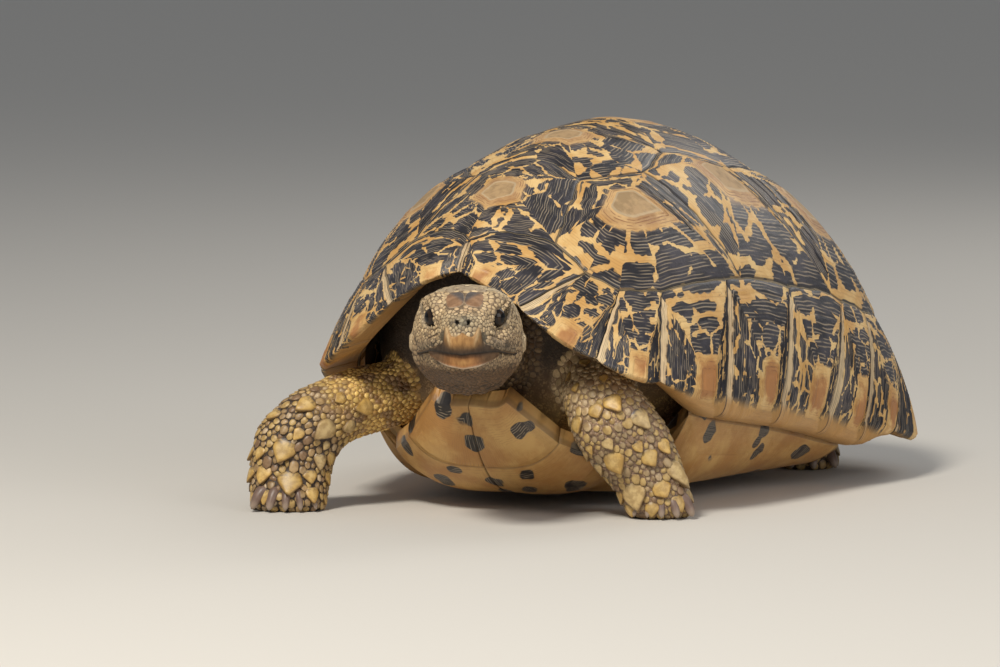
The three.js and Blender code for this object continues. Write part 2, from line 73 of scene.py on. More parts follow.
camera_data = bpy.data.cameras.new("camera")
camera_data.sensor_width = SENSOR * 1000
camera_data.lens = LENS * 1000
camera_data.clip_start = 0.1
camera_data.clip_end = 50
camera = bpy.data.objects.new("camera", camera_data)
bpy.context.scene.collection.objects.link(camera)
camera_side = Vector((
    math.sin(CAMERA_TURN) * math.cos(CAMERA_RISE),
    -math.cos(CAMERA_TURN) * math.cos(CAMERA_RISE),
    math.sin(CAMERA_RISE),
))
camera.location = LOOK_AT + camera_side * CAMERA_AWAY
camera.rotation_euler = camera_side.to_track_quat("Z", "Y").to_euler()
bpy.context.scene.camera = camera
bpy.context.scene.view_settings.view_transform = "Standard"


class Value:
    """What a node gives. Sums, differences and products of such values make Math nodes."""

    def __init__(self, socket):
        self.socket = socket
        self.tree = socket.id_data

    def __add__(self, other):
        return math_node("ADD", self, other)

    def __sub__(self, other):
        return math_node("SUBTRACT", self, other)

    def __rsub__(self, other):
        return math_node("SUBTRACT", other, self)

    def __mul__(self, other):
        return math_node("MULTIPLY", self, other)


def feed(entry, value):
    """Gives an input a number, a colour or what another node gives."""
    if isinstance(value, Value):
        entry.id_data.links.new(value.socket, entry)
    elif entry.type == "RGBA":
        entry.default_value = (*value, 1)
    else:
        entry.default_value = value


def new_material(name):
    """A material, its node tree and the Principled shader in it."""
    material = bpy.data.materials.new(name)
    material.use_nodes = True
    return material, material.node_tree, material.node_tree.nodes["Principled BSDF"]


FLOOR_SIZE = 12
bpy.ops.mesh.primitive_plane_add(size=FLOOR_SIZE, location=(0, FLOOR_SIZE / 4, 0))
floor = bpy.context.object
floor.name = "floor"
floor_material, _, floor_shader = new_material("pale_floor")
feed(floor_shader.inputs["Base Color"], (0.62, 0.59, 0.54))
feed(floor_shader.inputs["Roughness"], 0.9)
floor.data.materials.append(floor_material)
floor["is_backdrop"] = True
LIT_POINT = Vector((0, 0, 0.08))


def soft_lamp(name, place, size, watts, colour):
    """A square soft lamp that faces the animal."""
    data = bpy.data.lights.new(name, "AREA")
    data.size = size
    data.energy = watts
    data.color = colour
    lamp = bpy.data.objects.new(name, data)
    lamp.location = place
    lamp.rotation_euler = (Vector(place) - LIT_POINT).to_track_quat("Z", "Y").to_euler()
    bpy.context.scene.collection.objects.link(lamp)


soft_lamp("key", (-0.05, -1.55, 1.75), 0.45, 44, (1.0, 0.95, 0.86))
soft_lamp("fill", (2.1, -0.8, 1.0), 1.4, 15, (0.96, 0.97, 1.0))
soft_lamp("back", (0.5, 1.9, 1.5), 1.2, 11, (1.0, 0.97, 0.92))
world = bpy.data.worlds.new("studio")
world.use_nodes = True
sky = world.node_tree.nodes["Background"]
feed(sky.inputs["Color"], (0.80, 0.84, 0.90))
feed(sky.inputs["Strength"], 0.30)
bpy.context.scene.world = world

# ---- Carapace: vertebral and costal scutes ----
# The upper shell is a dome of bone under plates of horn. Each plate grows from a small areola, a ring
# at a time, so that its rings repeat its outline. Every ring here is a real ridge in the mesh.
HALF_LENGTH = 0.180
HALF_WIDTH = 0.1244
SHELL_TOP = 0.197
EGG = 0.216
PLAN_POWER = {"front": 3.66, "rear": 2.32}
PROFILE_POWER = {"front": 1.63, "side": 1.81, "rear": 2.03}
RIM_HEIGHTS = np.array([0.128, 0.074, 0.046, 0.018, 0.042])
RIM_FLARE = {"front": 0.010, "rear": 0.0084}
NECK_NOTCH = {"depth": 0.007, "spread": 0.1}
SHELL_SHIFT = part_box("supracaudal")[1].y - HALF_LENGTH - RIM_FLARE["rear"]


def stacked(*values):
    """Points made of their coordinates."""
    return np.stack(np.broadcast_arrays(*values), axis=-1)


def unit(vectors):
    return vectors / np.maximum(np.linalg.norm(vectors, axis=-1, keepdims=True), 1e-12)


def peak(value, width):
    """1 where the value is 0, falling off smoothly within about the width."""
    return np.exp(-((value / width) ** 2))


def curve_through(before, start, end, after, t):
    """A smooth curve from start (t = 0) to end (t = 1) that comes from before and goes on to after."""
    bend = 2 * before - 5 * start + 4 * end - after + t * (3 * (start - end) + after - before)
    return start + t * (end - before + t * bend) / 2


def rim_height(angle):
    """Height of the rim at an angle from the neck, smooth through the five named heights."""
    around = np.minimum(np.abs(angle) / (math.pi / 4), len(RIM_HEIGHTS) - 1.0001)
    step = np.floor(around).astype(int)
    t = around - step

    def height(offset):
        index = np.abs(step + offset)
        return RIM_HEIGHTS[np.where(index > 4, 8 - index, index)]

    return curve_through(*(height(i) for i in (-1, 0, 1, 2)), t)


def dome(left, fore, lift):
    """Points of the shell over a disc: 0 on the top of the back, 1 at the rim; lift stands out."""
    reach = np.minimum(np.hypot(left, fore), 1)
    angle = np.arctan2(left, fore)
    sine, cosine = np.sin(angle), np.cos(angle)
    front = cosine > 0
    plan = PLAN_POWER["front"] + np.where(front, 0, PLAN_POWER["rear"] - PLAN_POWER["front"]) * cosine**2
    end = np.where(front, PROFILE_POWER["front"], PROFILE_POWER["rear"])
    profile = PROFILE_POWER["side"] * sine**2 + end * cosine**2
    corner = (np.abs(sine) ** plan + np.abs(cosine) ** plan) ** (-1 / plan)
    out = np.sin(reach * math.pi / 2) ** (2 / profile)
    up = np.maximum(np.cos(reach * math.pi / 2), 0) ** (2 / profile)
    edge = np.maximum((reach - 0.7) / 0.3, 0) ** 2
    flare = np.where(front, RIM_FLARE["front"], RIM_FLARE["rear"]) * np.abs(cosine) * edge
    notch = NECK_NOTCH["depth"] * peak(angle, NECK_NOTCH["spread"]) * edge
    base = rim_height(angle)
    return stacked(
        sine * corner * ((HALF_WIDTH + lift) * out + flare) * (1 - EGG * cosine * out),
        -cosine * corner * ((HALF_LENGTH + lift) * out + flare - notch) + SHELL_SHIFT,
        base + (SHELL_TOP + lift - base) * up,
    )


# Meeting points of the seams on the left half of the disc. In the names v, c and m are for vertebral,
# costal and marginal plates, so that c1m1m2 is where costal 1 meets marginals 1 and 2.
SEAM = {
    "neck": (0, 0.8), "v1c1m1": (0.285, 0.61), "v1v2": (0.193, 0.385), "c1c2": (0.28, 0.22),
    "v2v3": (0.255, 0.1), "c2c3": (0.32, -0.11), "v3v4": (0.25, -0.27), "c3c4": (0.275, -0.4),
    "v4v5": (0.16, -0.56), "c4v5m11": (0.3, -0.72), "v5m11": (0.17, -0.8), "tail": (0, -0.83),
    "c1m1m2": (0.397, 0.6), "c1m2m3": (0.483, 0.557), "c1m3m4": (0.55, 0.463), "c1m4m5": (0.63, 0.255),
    "c1c2m5": (0.645, 0.197), "c2m5m6": (0.69, 0), "c2c3m6": (0.665, -0.195), "c3m6m7": (0.665, -0.235),
    "c3m7m8": (0.64, -0.34), "c3c4m8": (0.59, -0.44), "c4m8m9": (0.555, -0.51), "c4m9m10": (0.46, -0.61),
    "c4m10m11": (0.36, -0.68),
}
VERTEBRALS = [  # the areola's place on the middle line, and the corners of the left half
    (0.57, ["neck", "v1c1m1", "v1v2"]),
    (0.235, ["v1v2", "c1c2", "v2v3"]),
    (-0.075, ["v2v3", "c2c3", "v3v4"]),
    (-0.40, ["v3v4", "c3c4", "v4v5"]),
    (-0.68, ["v4v5", "c4v5m11", "v5m11", "tail"]),
]
COSTALS = [  # the areola's place, and the corners
    ((0.32, 0.335), ["v1c1m1", "c1m1m2", "c1m2m3", "c1m3m4", "c1m4m5", "c1c2m5", "c1c2", "v1v2"]),
    ((0.36, -0.03), ["c1c2", "c1c2m5", "c2m5m6", "c2c3m6", "c2c3", "v2v3"]),
    ((0.36, -0.28), ["c2c3", "c2c3m6", "c3m6m7", "c3m7m8", "c3c4m8", "c3c4", "v3v4"]),
    ((0.33, -0.53), ["c3c4", "c3c4m8", "c4m8m9", "c4m9m10", "c4m10m11", "c4v5m11", "v4v5"]),
]
DISC_SCALE = 0.150  # metres of shell that a length of 1 on the disc covers, about
RING_WIDTH = 0.00125
RIDGE = 0.00034
AREOLA_RIM = 0.00035
EDGE_STEP = 0.0023
WAVER = 0.0022  # how far a seam strays, in disc measures
AREOLA = 0.23  # share of the plate that is areola
WALL_DEPTH = 0.004


def seam_at(name, side=1):
    return np.array(SEAM[name], float) * (side, 1)


def wavering(points):
    """Moves seam points a little, the same way for the plates on both sides of a seam."""
    waves = ((71, 38, 0.4), (-46, 83, 1.9), (132, 95, 4.0))
    first, second, third = (np.sin(points @ np.array([a, b]) + c) for a, b, c in waves)
    return points + WAVER * stacked(first + 0.5 * third, second - 0.5 * third)


def stepped(corners, scale):
    """An outline cut into steps of about EDGE_STEP, and the side that each point belongs to."""
    points, sides = [], []
    for i, start in enumerate(corners):
        end = corners[(i + 1) % len(corners)]
        count = max(2, round(float(np.hypot(*((end - start) * scale))) / EDGE_STEP))
        for k in range(count):
            points.append(start + (end - start) * k / count)
            sides.append(i)
    return np.array(points), np.array(sides)


def mesh_of(bm, name):
    mesh = bpy.data.meshes.new(name)
    bm.to_mesh(mesh)
    bm.free()
    return mesh


def spun_disc(rows, around):
    """A flat disc made by turning a row of vertices: row r lies at radius r, row 0 is the centre."""
    bm = bmesh.new()
    row = [bm.verts.new((r, 0, 0)) for r in range(rows)]
    chain = [bm.edges.new(pair) for pair in zip(row, row[1:])]
    bmesh.ops.spin(bm, geom=row + chain, axis=(0, 0, 1), angle=2 * math.pi, steps=around, use_merge=True)
    bmesh.ops.remove_doubles(bm, verts=bm.verts, dist=0.001)
    return bm


def rows_and_turns(flat, around):
    """The row of each vertex of a spun disc, and how many steps it is round from the first."""
    rows = np.rint(np.hypot(flat[:, 0], flat[:, 1])).astype(int)
    steps = np.rint(np.arctan2(flat[:, 1], flat[:, 0]) / (2 * math.pi) * around)
    return rows, steps.astype(int) % around


def angles_of(around):
    return np.arange(around) / around * 2 * math.pi


def rounded_off(values, times):
    """A closed row of values, drawn towards their neighbours."""
    for _ in range(times):
        values = (np.roll(values, 1, 0) + 2 * values + np.roll(values, -1, 0)) / 4
    return values


def read(items, key, width, kind=float):
    """One property of the parts of a mesh, with a row of numbers for each part."""
    values = np.empty(len(items) * width, kind)
    items.foreach_get(key, values)
    return values.reshape(-1, width)


def mesh_points(mesh):
    return read(mesh.vertices, "co", 3)


def set_points(mesh, points):
    mesh.vertices.foreach_set("co", np.asarray(points, float).ravel())
    mesh.update()


def vertex_normals(mesh):
    return read(mesh.vertex_normals, "vector", 3, np.float32).astype(float)


def set_attribute(mesh, name, values, domain="POINT"):
    """Stores one number or one vector for each vertex or face."""
    values = np.asarray(values, np.float32)
    kind, key = ("FLOAT", "value") if values.ndim == 1 else ("FLOAT_VECTOR", "vector")
    mesh.attributes.new(name, kind, domain).data.foreach_set(key, values.ravel())


def finish_piece(name, mesh, material, slot, *nodes):
    """Links a mesh as a smooth piece that rides on the body and stands for its nodes."""
    mesh.name = name
    mesh.materials.append(material)
    mesh.polygons.foreach_set("use_smooth", [True] * len(mesh.polygons))
    piece = bpy.data.objects.new(name, mesh)
    bpy.context.scene.collection.objects.link(piece)
    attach(piece, "root")
    if nodes:
        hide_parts(*nodes)
    return piece


def closed_disc(rows, around):
    """A spun disc whose last row is closed underneath by one face."""
    bm = spun_disc(rows, around)
    bmesh.ops.contextual_create(bm, geom=[e for e in bm.edges if e.is_boundary])
    bmesh.ops.triangulate(bm, faces=[f for f in bm.faces if len(f.verts) > 4])
    bmesh.ops.recalc_face_normals(bm, faces=bm.faces)
    return mesh_of(bm, "disc")


SWELL = ((0, 0.25, 0.7, 0.94, 0.985, 1), (0.0021, 0.0020, 0.0010, 0.0, -0.0003, -0.0010))
NEW_SIDE = 3  # the side of a rim plate that grew last
UNDER_FADE = 0.08


def horn_plate(
    name, outline, sides, centre, place, size, material, slot, seed, warmth, relief=1.0, areola=AREOLA,
):
    """A plate of horn with its growth rings. place(points, lift) puts outline points on the shell."""
    rng = np.random.default_rng(seed)
    rings = max(6, round(size * (1 - areola) / RING_WIDTH))
    shares = np.concatenate([np.linspace(0, areola, 7)[:-1], np.linspace(areola, 1, 2 * rings + 1)])
    rows = len(shares)
    around = len(outline)
    mesh = closed_disc(rows + 1, around)
    row, turn = rows_and_turns(mesh_points(mesh), around)
    wall = row >= rows
    share = shares[np.minimum(row, rows - 1)]
    ring_number = np.clip((share - areola) / (1 - areola), 0, 1) * rings

    # The rings near the areola are rounder than the plate, and each one sways a little.
    rounded = rounded_off(outline, around // 9)
    sway = np.zeros((rings + 1, around))
    for waves in (3, 5, 8, 13):
        phase = np.cumsum(rng.normal(0, 0.3, rings + 1)) + rng.uniform(0, 6)
        sway += np.sin(waves * angles_of(around)[None, :] + phase[:, None]) * 0.07
    bend = sway[np.minimum(ring_number.astype(int), rings), turn] * (1 - areola) / rings
    bend *= np.clip((1 - share) * 12, 0, 1) * np.clip(share * 6 - 0.4, 0, 1)
    keep = np.clip(share * 2.2 - 0.25, 0, 1)[:, None]
    shaped = rounded[turn] * (1 - keep) + outline[turn] * keep
    points = centre + (shaped - centre) * (share + bend)[:, None]
    lift = np.interp(share, *SWELL) * relief - np.where(wall, WALL_DEPTH, 0)
    set_points(mesh, place(points, lift))

    # Each ring is a ridge of its own height, and a low rim stands round the areola.
    strength = rng.uniform(0.45, 1.25, rings + 2) * (1 + 0.9 * (rng.random(rings + 2) < 0.14))
    nearest = np.rint(ring_number)
    ridge = (np.abs(ring_number - nearest) * 2 - 0.5) * -RIDGE
    ridge *= strength[np.minimum(nearest.astype(int), rings + 1)]
    ridge *= np.clip((share - areola) * 14, 0, 1) * (~wall)
    ridge += AREOLA_RIM * peak(share - areola * 1.02, 0.02)
    set_points(mesh, mesh_points(mesh) + vertex_normals(mesh) * (ridge * relief)[:, None])

    corner_at = np.flatnonzero(sides != np.roll(sides, 1))
    to_corner = (turn[:, None] - corner_at[None, :] + around / 2) % around - around / 2
    set_attribute(mesh, "corner", peak(np.abs(to_corner).min(axis=1) * EDGE_STEP, 0.0055))
    angle = turn / around * 2 * math.pi
    set_attribute(mesh, "growth", stacked(np.cos(angle), np.sin(angle), ring_number))
    set_attribute(mesh, "share", share - wall * 0.05)
    set_attribute(mesh, "under", np.clip((points[:, 1] - 1) / UNDER_FADE, 0, 1))
    loops = read(mesh.loops, "vertex_index", 1, np.int32)[:, 0]
    starts = read(mesh.polygons, "loop_start", 1, np.int32)[:, 0]
    side_seed = rng.random(int(sides.max()) + 1)
    side = sides[np.minimum(turn[loops[starts]], turn[loops[starts + 2]])]
    warm = warmth * (1 + (side == NEW_SIDE))
    set_attribute(mesh, "plate", stacked(rng.random(), side_seed[side], warm), "FACE")
    finish_piece(f"horn_{name}", mesh, material, slot, name)


def add_node(tree, kind, inputs=None, **settings):
    node = tree.nodes.new(kind)
    for key, value in settings.items():
        setattr(node, key, value)
    for key, value in (inputs or {}).items():
        feed(node.inputs[key], value)
    return node


def given(tree, kind, output, inputs=None, **settings):
    """What one output of a new node gives."""
    return Value(add_node(tree, kind, inputs, **settings).outputs[output])


def tree_of(*values):
    return next(value.tree for value in values if isinstance(value, Value))


def math_node(operation, first, second=0.0, clamp=False):
    tree = tree_of(first, second)
    return given(tree, "ShaderNodeMath", 0, {0: first, 1: second}, operation=operation, use_clamp=clamp)


def mix_colour(share, first, second, blend="MIX"):
    inputs = {0: share, 6: first, 7: second}
    tree = tree_of(share, first, second)
    return given(tree, "ShaderNodeMix", 2, inputs, data_type="RGBA", blend_type=blend)


def layered(colour, *layers):
    """A colour with others laid over it in turn, each by its share."""
    for share, tint in layers:
        colour = mix_colour(share, colour, tint)
    return colour


def step_between(value, low, high):
    """0 below low, 1 above high and smooth between them."""
    inputs = {0: value, 1: low, 2: high}
    return given(value.tree, "ShaderNodeMapRange", 0, inputs, interpolation_type="SMOOTHSTEP")


def parts(vector):
    """The three parts of a vector."""
    split = add_node(vector.tree, "ShaderNodeSeparateXYZ", {0: vector})
    return [Value(output) for output in split.outputs]


def noise(place, scale, detail, roughness=0.5, output=0):
    inputs = {"Vector": place, "Scale": scale, "Detail": detail, "Roughness": roughness}
    return given(place.tree, "ShaderNodeTexNoise", output, inputs)


def attribute(tree, name, output="Fac"):
    return given(tree, "ShaderNodeAttribute", output, attribute_name=name)


def blotch_group():
    """Black blotches that follow the growth rings, as a mask, with the thin lines between rings."""
    group = bpy.data.node_groups.new("ring_blotches", "ShaderNodeTree")
    group.interface.new_socket("Growth", in_out="INPUT", socket_type="NodeSocketVector")
    for name in ("Plate", "Side", "Amount", "Spacing"):
        group.interface.new_socket(name, in_out="INPUT", socket_type="NodeSocketFloat")
    for name in ("Mask", "Line"):
        group.interface.new_socket(name, in_out="OUTPUT", socket_type="NodeSocketFloat")
    growth, plate, side, amount, spacing, _ = map(Value, add_node(group, "NodeGroupInput").outputs)
    cosine, sine, ring = parts(growth)
    whole = math_node("FLOOR", ring + 0.5)
    stepped_ring = whole * 0.45 + ring * 0.55
    plate = plate * 61.0
    side = side * 3.0

    def ring_place(wide, tall, by_side, offset=0.0):
        """A place for a pattern that runs round the plate and outwards with its rings."""
        x, y = cosine * wide + side * by_side, sine * wide + (plate + offset)
        return given(group, "ShaderNodeCombineXYZ", 0, {0: x, 1: y, 2: stepped_ring * tall})

    broad = noise(ring_place(1.6, 0.12, 1.0), 1.0, 0.0, 0.6)
    bands = noise(ring_place(0.6, 0.30, 0.5, 17.0), 1.0, 0.0, 0.6)
    scallops = noise(ring_place(9.0, 0.50, 1.0, 31.0), 1.0, 0.0, 0.6)
    inputs = {"Vector": ring_place(1.7, spacing, 2.0), "Scale": 1.0}
    blocks = given(group, "ShaderNodeTexVoronoi", "Distance", inputs, feature="DISTANCE_TO_EDGE")
    total = blocks * 2.0 + bands * 0.5 + broad * 0.35 + scallops * 0.32
    broken = noise(ring_place(2.6, 0.9, 0.6, 47.0), 1.0, 1.0, 0.6)
    between = 1.0 - step_between(math_node("ABSOLUTE", ring - whole), 0.07, 0.26)
    result = add_node(group, "NodeGroupOutput")
    feed(result.inputs["Mask"], step_between(total - (1.49 - amount), -0.02, 0.02))
    feed(result.inputs["Line"], between * step_between(broken, 0.40, 0.56))
    return group


def finish_shader(shader, colour, roughness, height, strength, depth):
    """Gives the shader its colour, its roughness and its fine relief."""
    inputs = {"Strength": strength, "Distance": depth, "Height": height}
    relief = given(shader.id_data, "ShaderNodeBump", 0, inputs)
    for name, value in (("Base Color", colour), ("Roughness", roughness), ("Normal", relief)):
        feed(shader.inputs[name], value)


ring_blotches = blotch_group()
SPOT_WARP = 0.012  # share of a cloudy colour in the place of the spots
MARGIN_SHADE = (0.50, 0.265, 0.085)  # the plain underside of the rim


def horn_material(name, ground, pale, dark, areola_colour, amount, gloss, spotted=0.0):
    """Horn with growth lines and a seam, in ringed blotches round a bare areola, or (spotted) in a few
    large spots."""
    material, tree, shader = new_material(name)
    growth = attribute(tree, "growth", "Vector")
    plate_seed, side_seed, warmth = parts(attribute(tree, "plate", "Vector"))
    ring = parts(growth)[2]
    share, corner, under = (attribute(tree, name) for name in ("share", "corner", "under"))
    place = given(tree, "ShaderNodeTexCoord", "Object")
    cloudy = noise(place, 42.0, 5.0, 0.62)
    grain = noise(place, 190.0, 4.0, 0.6)
    warm = math_node("MINIMUM", warmth, 1.0)  # 1 on the plates of the rim
    fresh = math_node("SUBTRACT", warmth, 1.0, clamp=True)  # 1 on their newest side
    not_warm = math_node("SUBTRACT", 1.0 - spotted, warm, clamp=True)
    blotches = add_node(tree, "ShaderNodeGroup", {
        "Growth": growth, "Plate": plate_seed, "Side": side_seed,
        "Amount": corner * -0.13 + amount, "Spacing": warm * 0.085 + 0.085,
    }, node_tree=ring_blotches)
    blotch, line = map(Value, blotches.outputs)

    # Yellow ground: orange low on the rim, a cream strip on its newest side (pale new horn with a painted
    # highlight on its raised lip), plain tan underneath.
    low_zone = warm * (1.0 - step_between(cloudy * 0.9 + (share - 0.45), 0.08, 0.28))
    strip = fresh * step_between(cloudy * 0.35 + share, 1.04, 1.08)
    yellow = mix_colour(step_between(cloudy, 0.36, 0.66), ground, pale)
    orange = mix_colour(step_between(cloudy, 0.44, 0.66), (0.36, 0.145, 0.045), (0.62, 0.32, 0.10))
    yellow = layered(
        yellow, (low_zone * 0.85, orange), (strip * 0.6, (0.66, 0.52, 0.34)), (under * 0.85, MARGIN_SHADE),
    )

    # Black: blotches that start a few rings away from the areola, or spots.
    away = step_between(cloudy * 9.0 + ring, 8.6, 9.4)
    warped = noise(place, 60.0, 2.0, output="Color")
    spot_at = given(tree, "ShaderNodeMix", 1, {0: SPOT_WARP, 4: place, 5: warped}, data_type="VECTOR")
    spots = add_node(tree, "ShaderNodeTexVoronoi", {"Vector": spot_at, "Scale": 52.0})
    chosen = math_node("GREATER_THAN", parts(Value(spots.outputs["Color"]))[0], 0.15)
    spot = chosen * (1.0 - step_between(Value(spots.outputs["Distance"]), 0.30, 0.34))
    mask = given(tree, "ShaderNodeMix", 0, {0: spotted, 2: blotch * away, 3: spot})
    mask = mask * (1.0 - low_zone * 0.9) * (1.0 - strip * 0.9) * (1.0 - under * 0.94)
    black = mix_colour(step_between(cloudy, 0.40, 0.70), dark, tuple(3.2 * v + 0.004 for v in dark))

    # The young rings are pinkish. The lines between the rings are pale on black and dark on yellow.
    young = 1.0 - step_between(ring, 2.0, 6.5)
    pink = mix_colour(step_between(cloudy, 0.38, 0.62), (0.30, 0.165, 0.085), (0.54, 0.33, 0.15))
    strength = young * not_warm * 0.60 + strip * 0.45 + low_zone * 0.45 + 0.20
    on_yellow = line * strength * (1.0 - mask) * step_between(ring, 0.6, 6.0 * max(spotted, 0.2))
    line_colour = mix_colour(strip, (0.22, 0.09, 0.038), (0.05, 0.045, 0.045))

    # The areola is worn and bare with a pale border. The seam has a dark groove and a pale edge, which is a
    # painted highlight.
    bare = not_warm * (1.0 - step_between(ring, 0.02, 0.35))
    worn = step_between(cloudy * 0.6 + grain * 0.4, 0.42, 0.58)
    khaki = mix_colour(worn, areola_colour, tuple(0.5 * v for v in areola_colour))
    border = step_between(share, AREOLA - 0.035, AREOLA - 0.012) * bare
    beside_seam = step_between(share, 0.976, 0.988) * (0.75 - 0.4 * spotted)
    painted_seam_highlight = step_between(share, 0.9945, 0.9975) * (0.6 - 0.6 * spotted)

    colour = layered(
        yellow,
        (mask, black),
        (young * not_warm * 0.7, pink),
        (line * mask * 0.6, (0.42, 0.33, 0.22)),
        (on_yellow, line_colour),
        (bare * 0.75, khaki),
        (border * 0.35, (0.62, 0.50, 0.33)),
        (beside_seam, (0.035, 0.030, 0.028)),
        (painted_seam_highlight, (0.66, 0.55, 0.38)),
    )
    rough = given(tree, "ShaderNodeMapRange", 0, {0: mask, 3: gloss + 0.10, 4: gloss})
    rough = cloudy * 0.18 + (rough - 0.09) + bare * 0.12
    feed(shader.inputs["Specular IOR Level"], 0.55)
    finish_shader(shader, colour, rough, noise(place, 620.0, 3.0), 0.35, 0.0004)
    return material


scute_horn = horn_material(
    "scute_horn", ground=(0.58, 0.32, 0.095), pale=(0.74, 0.51, 0.22), dark=(0.016, 0.014, 0.017),
    areola_colour=(0.43, 0.29, 0.145), amount=0.835, gloss=0.42,
)

TIGHT = 0.0004  # half the gap at a seam, in disc measures
SIDES = (("left", 1), ("right", -1))

scute_plan = []
for i, (centre, half) in enumerate(VERTEBRALS):
    corners = [seam_at(name) for name in half]
    corners += [seam_at(name, -1) for name in reversed(half) if SEAM[name][0] > 0]
    scute_plan.append((f"vertebral_{i + 1}", corners, np.array([0.0, centre]), 11 + i))
for word, side in SIDES:
    for i, (centre, loop) in enumerate(COSTALS):
        corners = [seam_at(name, side) for name in loop]
        seed = 27 + i + (40 if side < 0 else 0)
        scute_plan.append((f"costal_{word}_{i + 1}", corners, np.array([centre[0] * side, centre[1]]), seed))

for name, corners, centre, seed in scute_plan:
    outline, sides = stepped(corners, DISC_SCALE * 1.2)
    outline = wavering(outline)
    inward = centre - outline
    outline = outline + unit(inward) * TIGHT
    size = np.linalg.norm(inward, axis=1).mean() * DISC_SCALE * 1.15
    horn_plate(
        name, outline, sides, centre, lambda points, lift: dome(points[:, 0], points[:, 1], lift),
        size, scute_horn, "scute", seed, warmth=0.0,
    )

# ---- Carapace: marginal and supracaudal scutes ----
# These plates wrap the rim of the shell, from their seam above down to the edge and in under it.
# Each grew from an areola low at its rear corner, so its rings widen upwards and forwards.
MARGINALS = [  # upper corners, stretch of the rim in degrees, and place of the areola in the plate
    (["neck", "v1c1m1", "c1m1m2"], (0, 18.5), (0.34, 0.90)),
    (["c1m1m2", "c1m2m3"], (18.5, 36), (0.60, 0.92)),
    (["c1m2m3", "c1m3m4"], (36, 48), (0.68, 0.93)),
    (["c1m3m4", "c1m4m5"], (48, 62), (0.70, 0.93)),
    (["c1m4m5", "c1c2m5", "c2m5m6"], (62, 78), (0.72, 0.90)),
    (["c2m5m6", "c2c3m6", "c3m6m7"], (78, 94), (0.72, 0.90)),
    (["c3m6m7", "c3m7m8"], (94, 105), (0.72, 0.90)),
    (["c3m7m8", "c3c4m8", "c4m8m9"], (105, 115), (0.72, 0.92)),
    (["c4m8m9", "c4m9m10"], (115, 129), (0.70, 0.93)),
    (["c4m9m10", "c4m10m11"], (129, 145), (0.66, 0.93)),
    (["c4m10m11", "c4v5m11", "v5m11"], (145, 163), (0.60, 0.93)),
]
LIP = {"inward": 0.020, "rise": 0.005, "bridge_inward": 0.016, "bridge_drop": 0.012, "bulge": 0.004}
UNDER = 0.45  # how far past the rim the underside goes, in shares of the face's height
RIM_ROUNDING = 0.035
WALL_START = 0.0022  # the walls of a plate under the rim lean inwards below this depth
WALL_INWARD = 1.3
NICK = 0.0011  # depth of the notch in the rim at each seam
RIM_PLATE_SIZE = 0.036
PLATE_SCALE = np.array([RIM_PLATE_SIZE, 0.048])


def smoothstep(value, low, high):
    t = np.clip((value - low) / (high - low), 0, 1)
    return t * t * (3 - 2 * t)


def into_shell(rim):
    """The level direction from points of the rim towards the middle of the body."""
    return unit(stacked(-rim[..., 0], -0.5 * (rim[..., 1] - SHELL_SHIFT), 0))


def underside(angle, along):
    """The underside of the marginals, from the rim at 0 to its inner edge at 1."""
    rim = dome(np.sin(angle), np.cos(angle), 0.0)
    degrees = np.degrees(np.abs(angle))
    bridge = smoothstep(degrees, 46, 60) * (1 - smoothstep(degrees, 104, 118))
    depth = LIP["inward"] + (LIP["bridge_inward"] - LIP["inward"]) * bridge
    drop = LIP["rise"] + (-LIP["bridge_drop"] - LIP["rise"]) * bridge
    bulge = np.sin(along * math.pi) * LIP["bulge"] * bridge
    down = stacked(0, 0, drop * along - bulge)
    return rim + into_shell(rim) * (depth * along - bulge)[..., None] + down


def rim_place(names, rim, side):
    """Places a marginal's (across, down) points on the shell: down is 0 at the seam and 1 at the rim."""
    top = np.array([seam_at(name, side) for name in names])
    lengths = np.concatenate([[0], np.cumsum(np.hypot(*np.diff(top, axis=0).T))])
    lengths /= lengths[-1]
    start, end = (math.radians(degrees) * side for degrees in rim)

    def once(across, down, lift):
        seam = stacked(*(np.interp(across, lengths, top[:, k]) for k in (0, 1)))
        angle = start + (end - start) * across
        edge = stacked(np.sin(angle), np.cos(angle))
        face = np.clip(down, 0, 1)[:, None]
        at = seam + (edge - seam) * face
        at = at + (wavering(at) - at) * (1 - face)
        above = dome(at[:, 0], at[:, 1], lift)
        below = underside(angle, np.clip((down - 1) / UNDER, 0, 1))
        below[:, 2] -= lift
        sunk = np.minimum(lift + WALL_START, 0)[:, None]
        below -= into_shell(below) * WALL_INWARD * sunk
        return np.where((down <= 1)[:, None], above, below)

    def place(points, lift):
        across, down = points[:, 0], points[:, 1]
        lift = lift - NICK * peak(np.minimum(across, 1 - across), 0.07) * peak(down - 1, 0.2)
        near = RIM_ROUNDING * np.clip(1 - np.abs(down - 1) / 0.15, 0, 1)
        above, at, below = (once(across, down + step * near, lift) for step in (-1, 0, 1))
        return (above + 2 * at + below) / 4

    return place


SEAM["v5m11_right"] = tuple(seam_at("v5m11", -1))
rim_plan = [("supracaudal", ["v5m11", "tail", "v5m11_right"], (163, 197), (0.5, 0.93), 1, 99)]
for word, side in SIDES:
    for i, (names, rim, areola_at) in enumerate(MARGINALS):
        seed = 131 + i + (40 if side < 0 else 0)
        rim_plan.append((f"marginal_{word}_{i + 1}", names, rim, areola_at, side, seed))

rim_corners = [np.array(c, float) for c in ((0, 0), (1, 0), (1, 1 + UNDER), (0, 1 + UNDER))]
for name, names, rim, areola_at, side, seed in rim_plan:
    centre = np.array(areola_at)
    outline, sides = stepped(rim_corners, PLATE_SCALE)
    outline = centre + (outline - centre) * 0.997
    horn_plate(
        name, outline, sides, centre, rim_place(names, rim, side),
        RIM_PLATE_SIZE, scute_horn, "scute", seed, warmth=1.0, areola=0.16,
    )

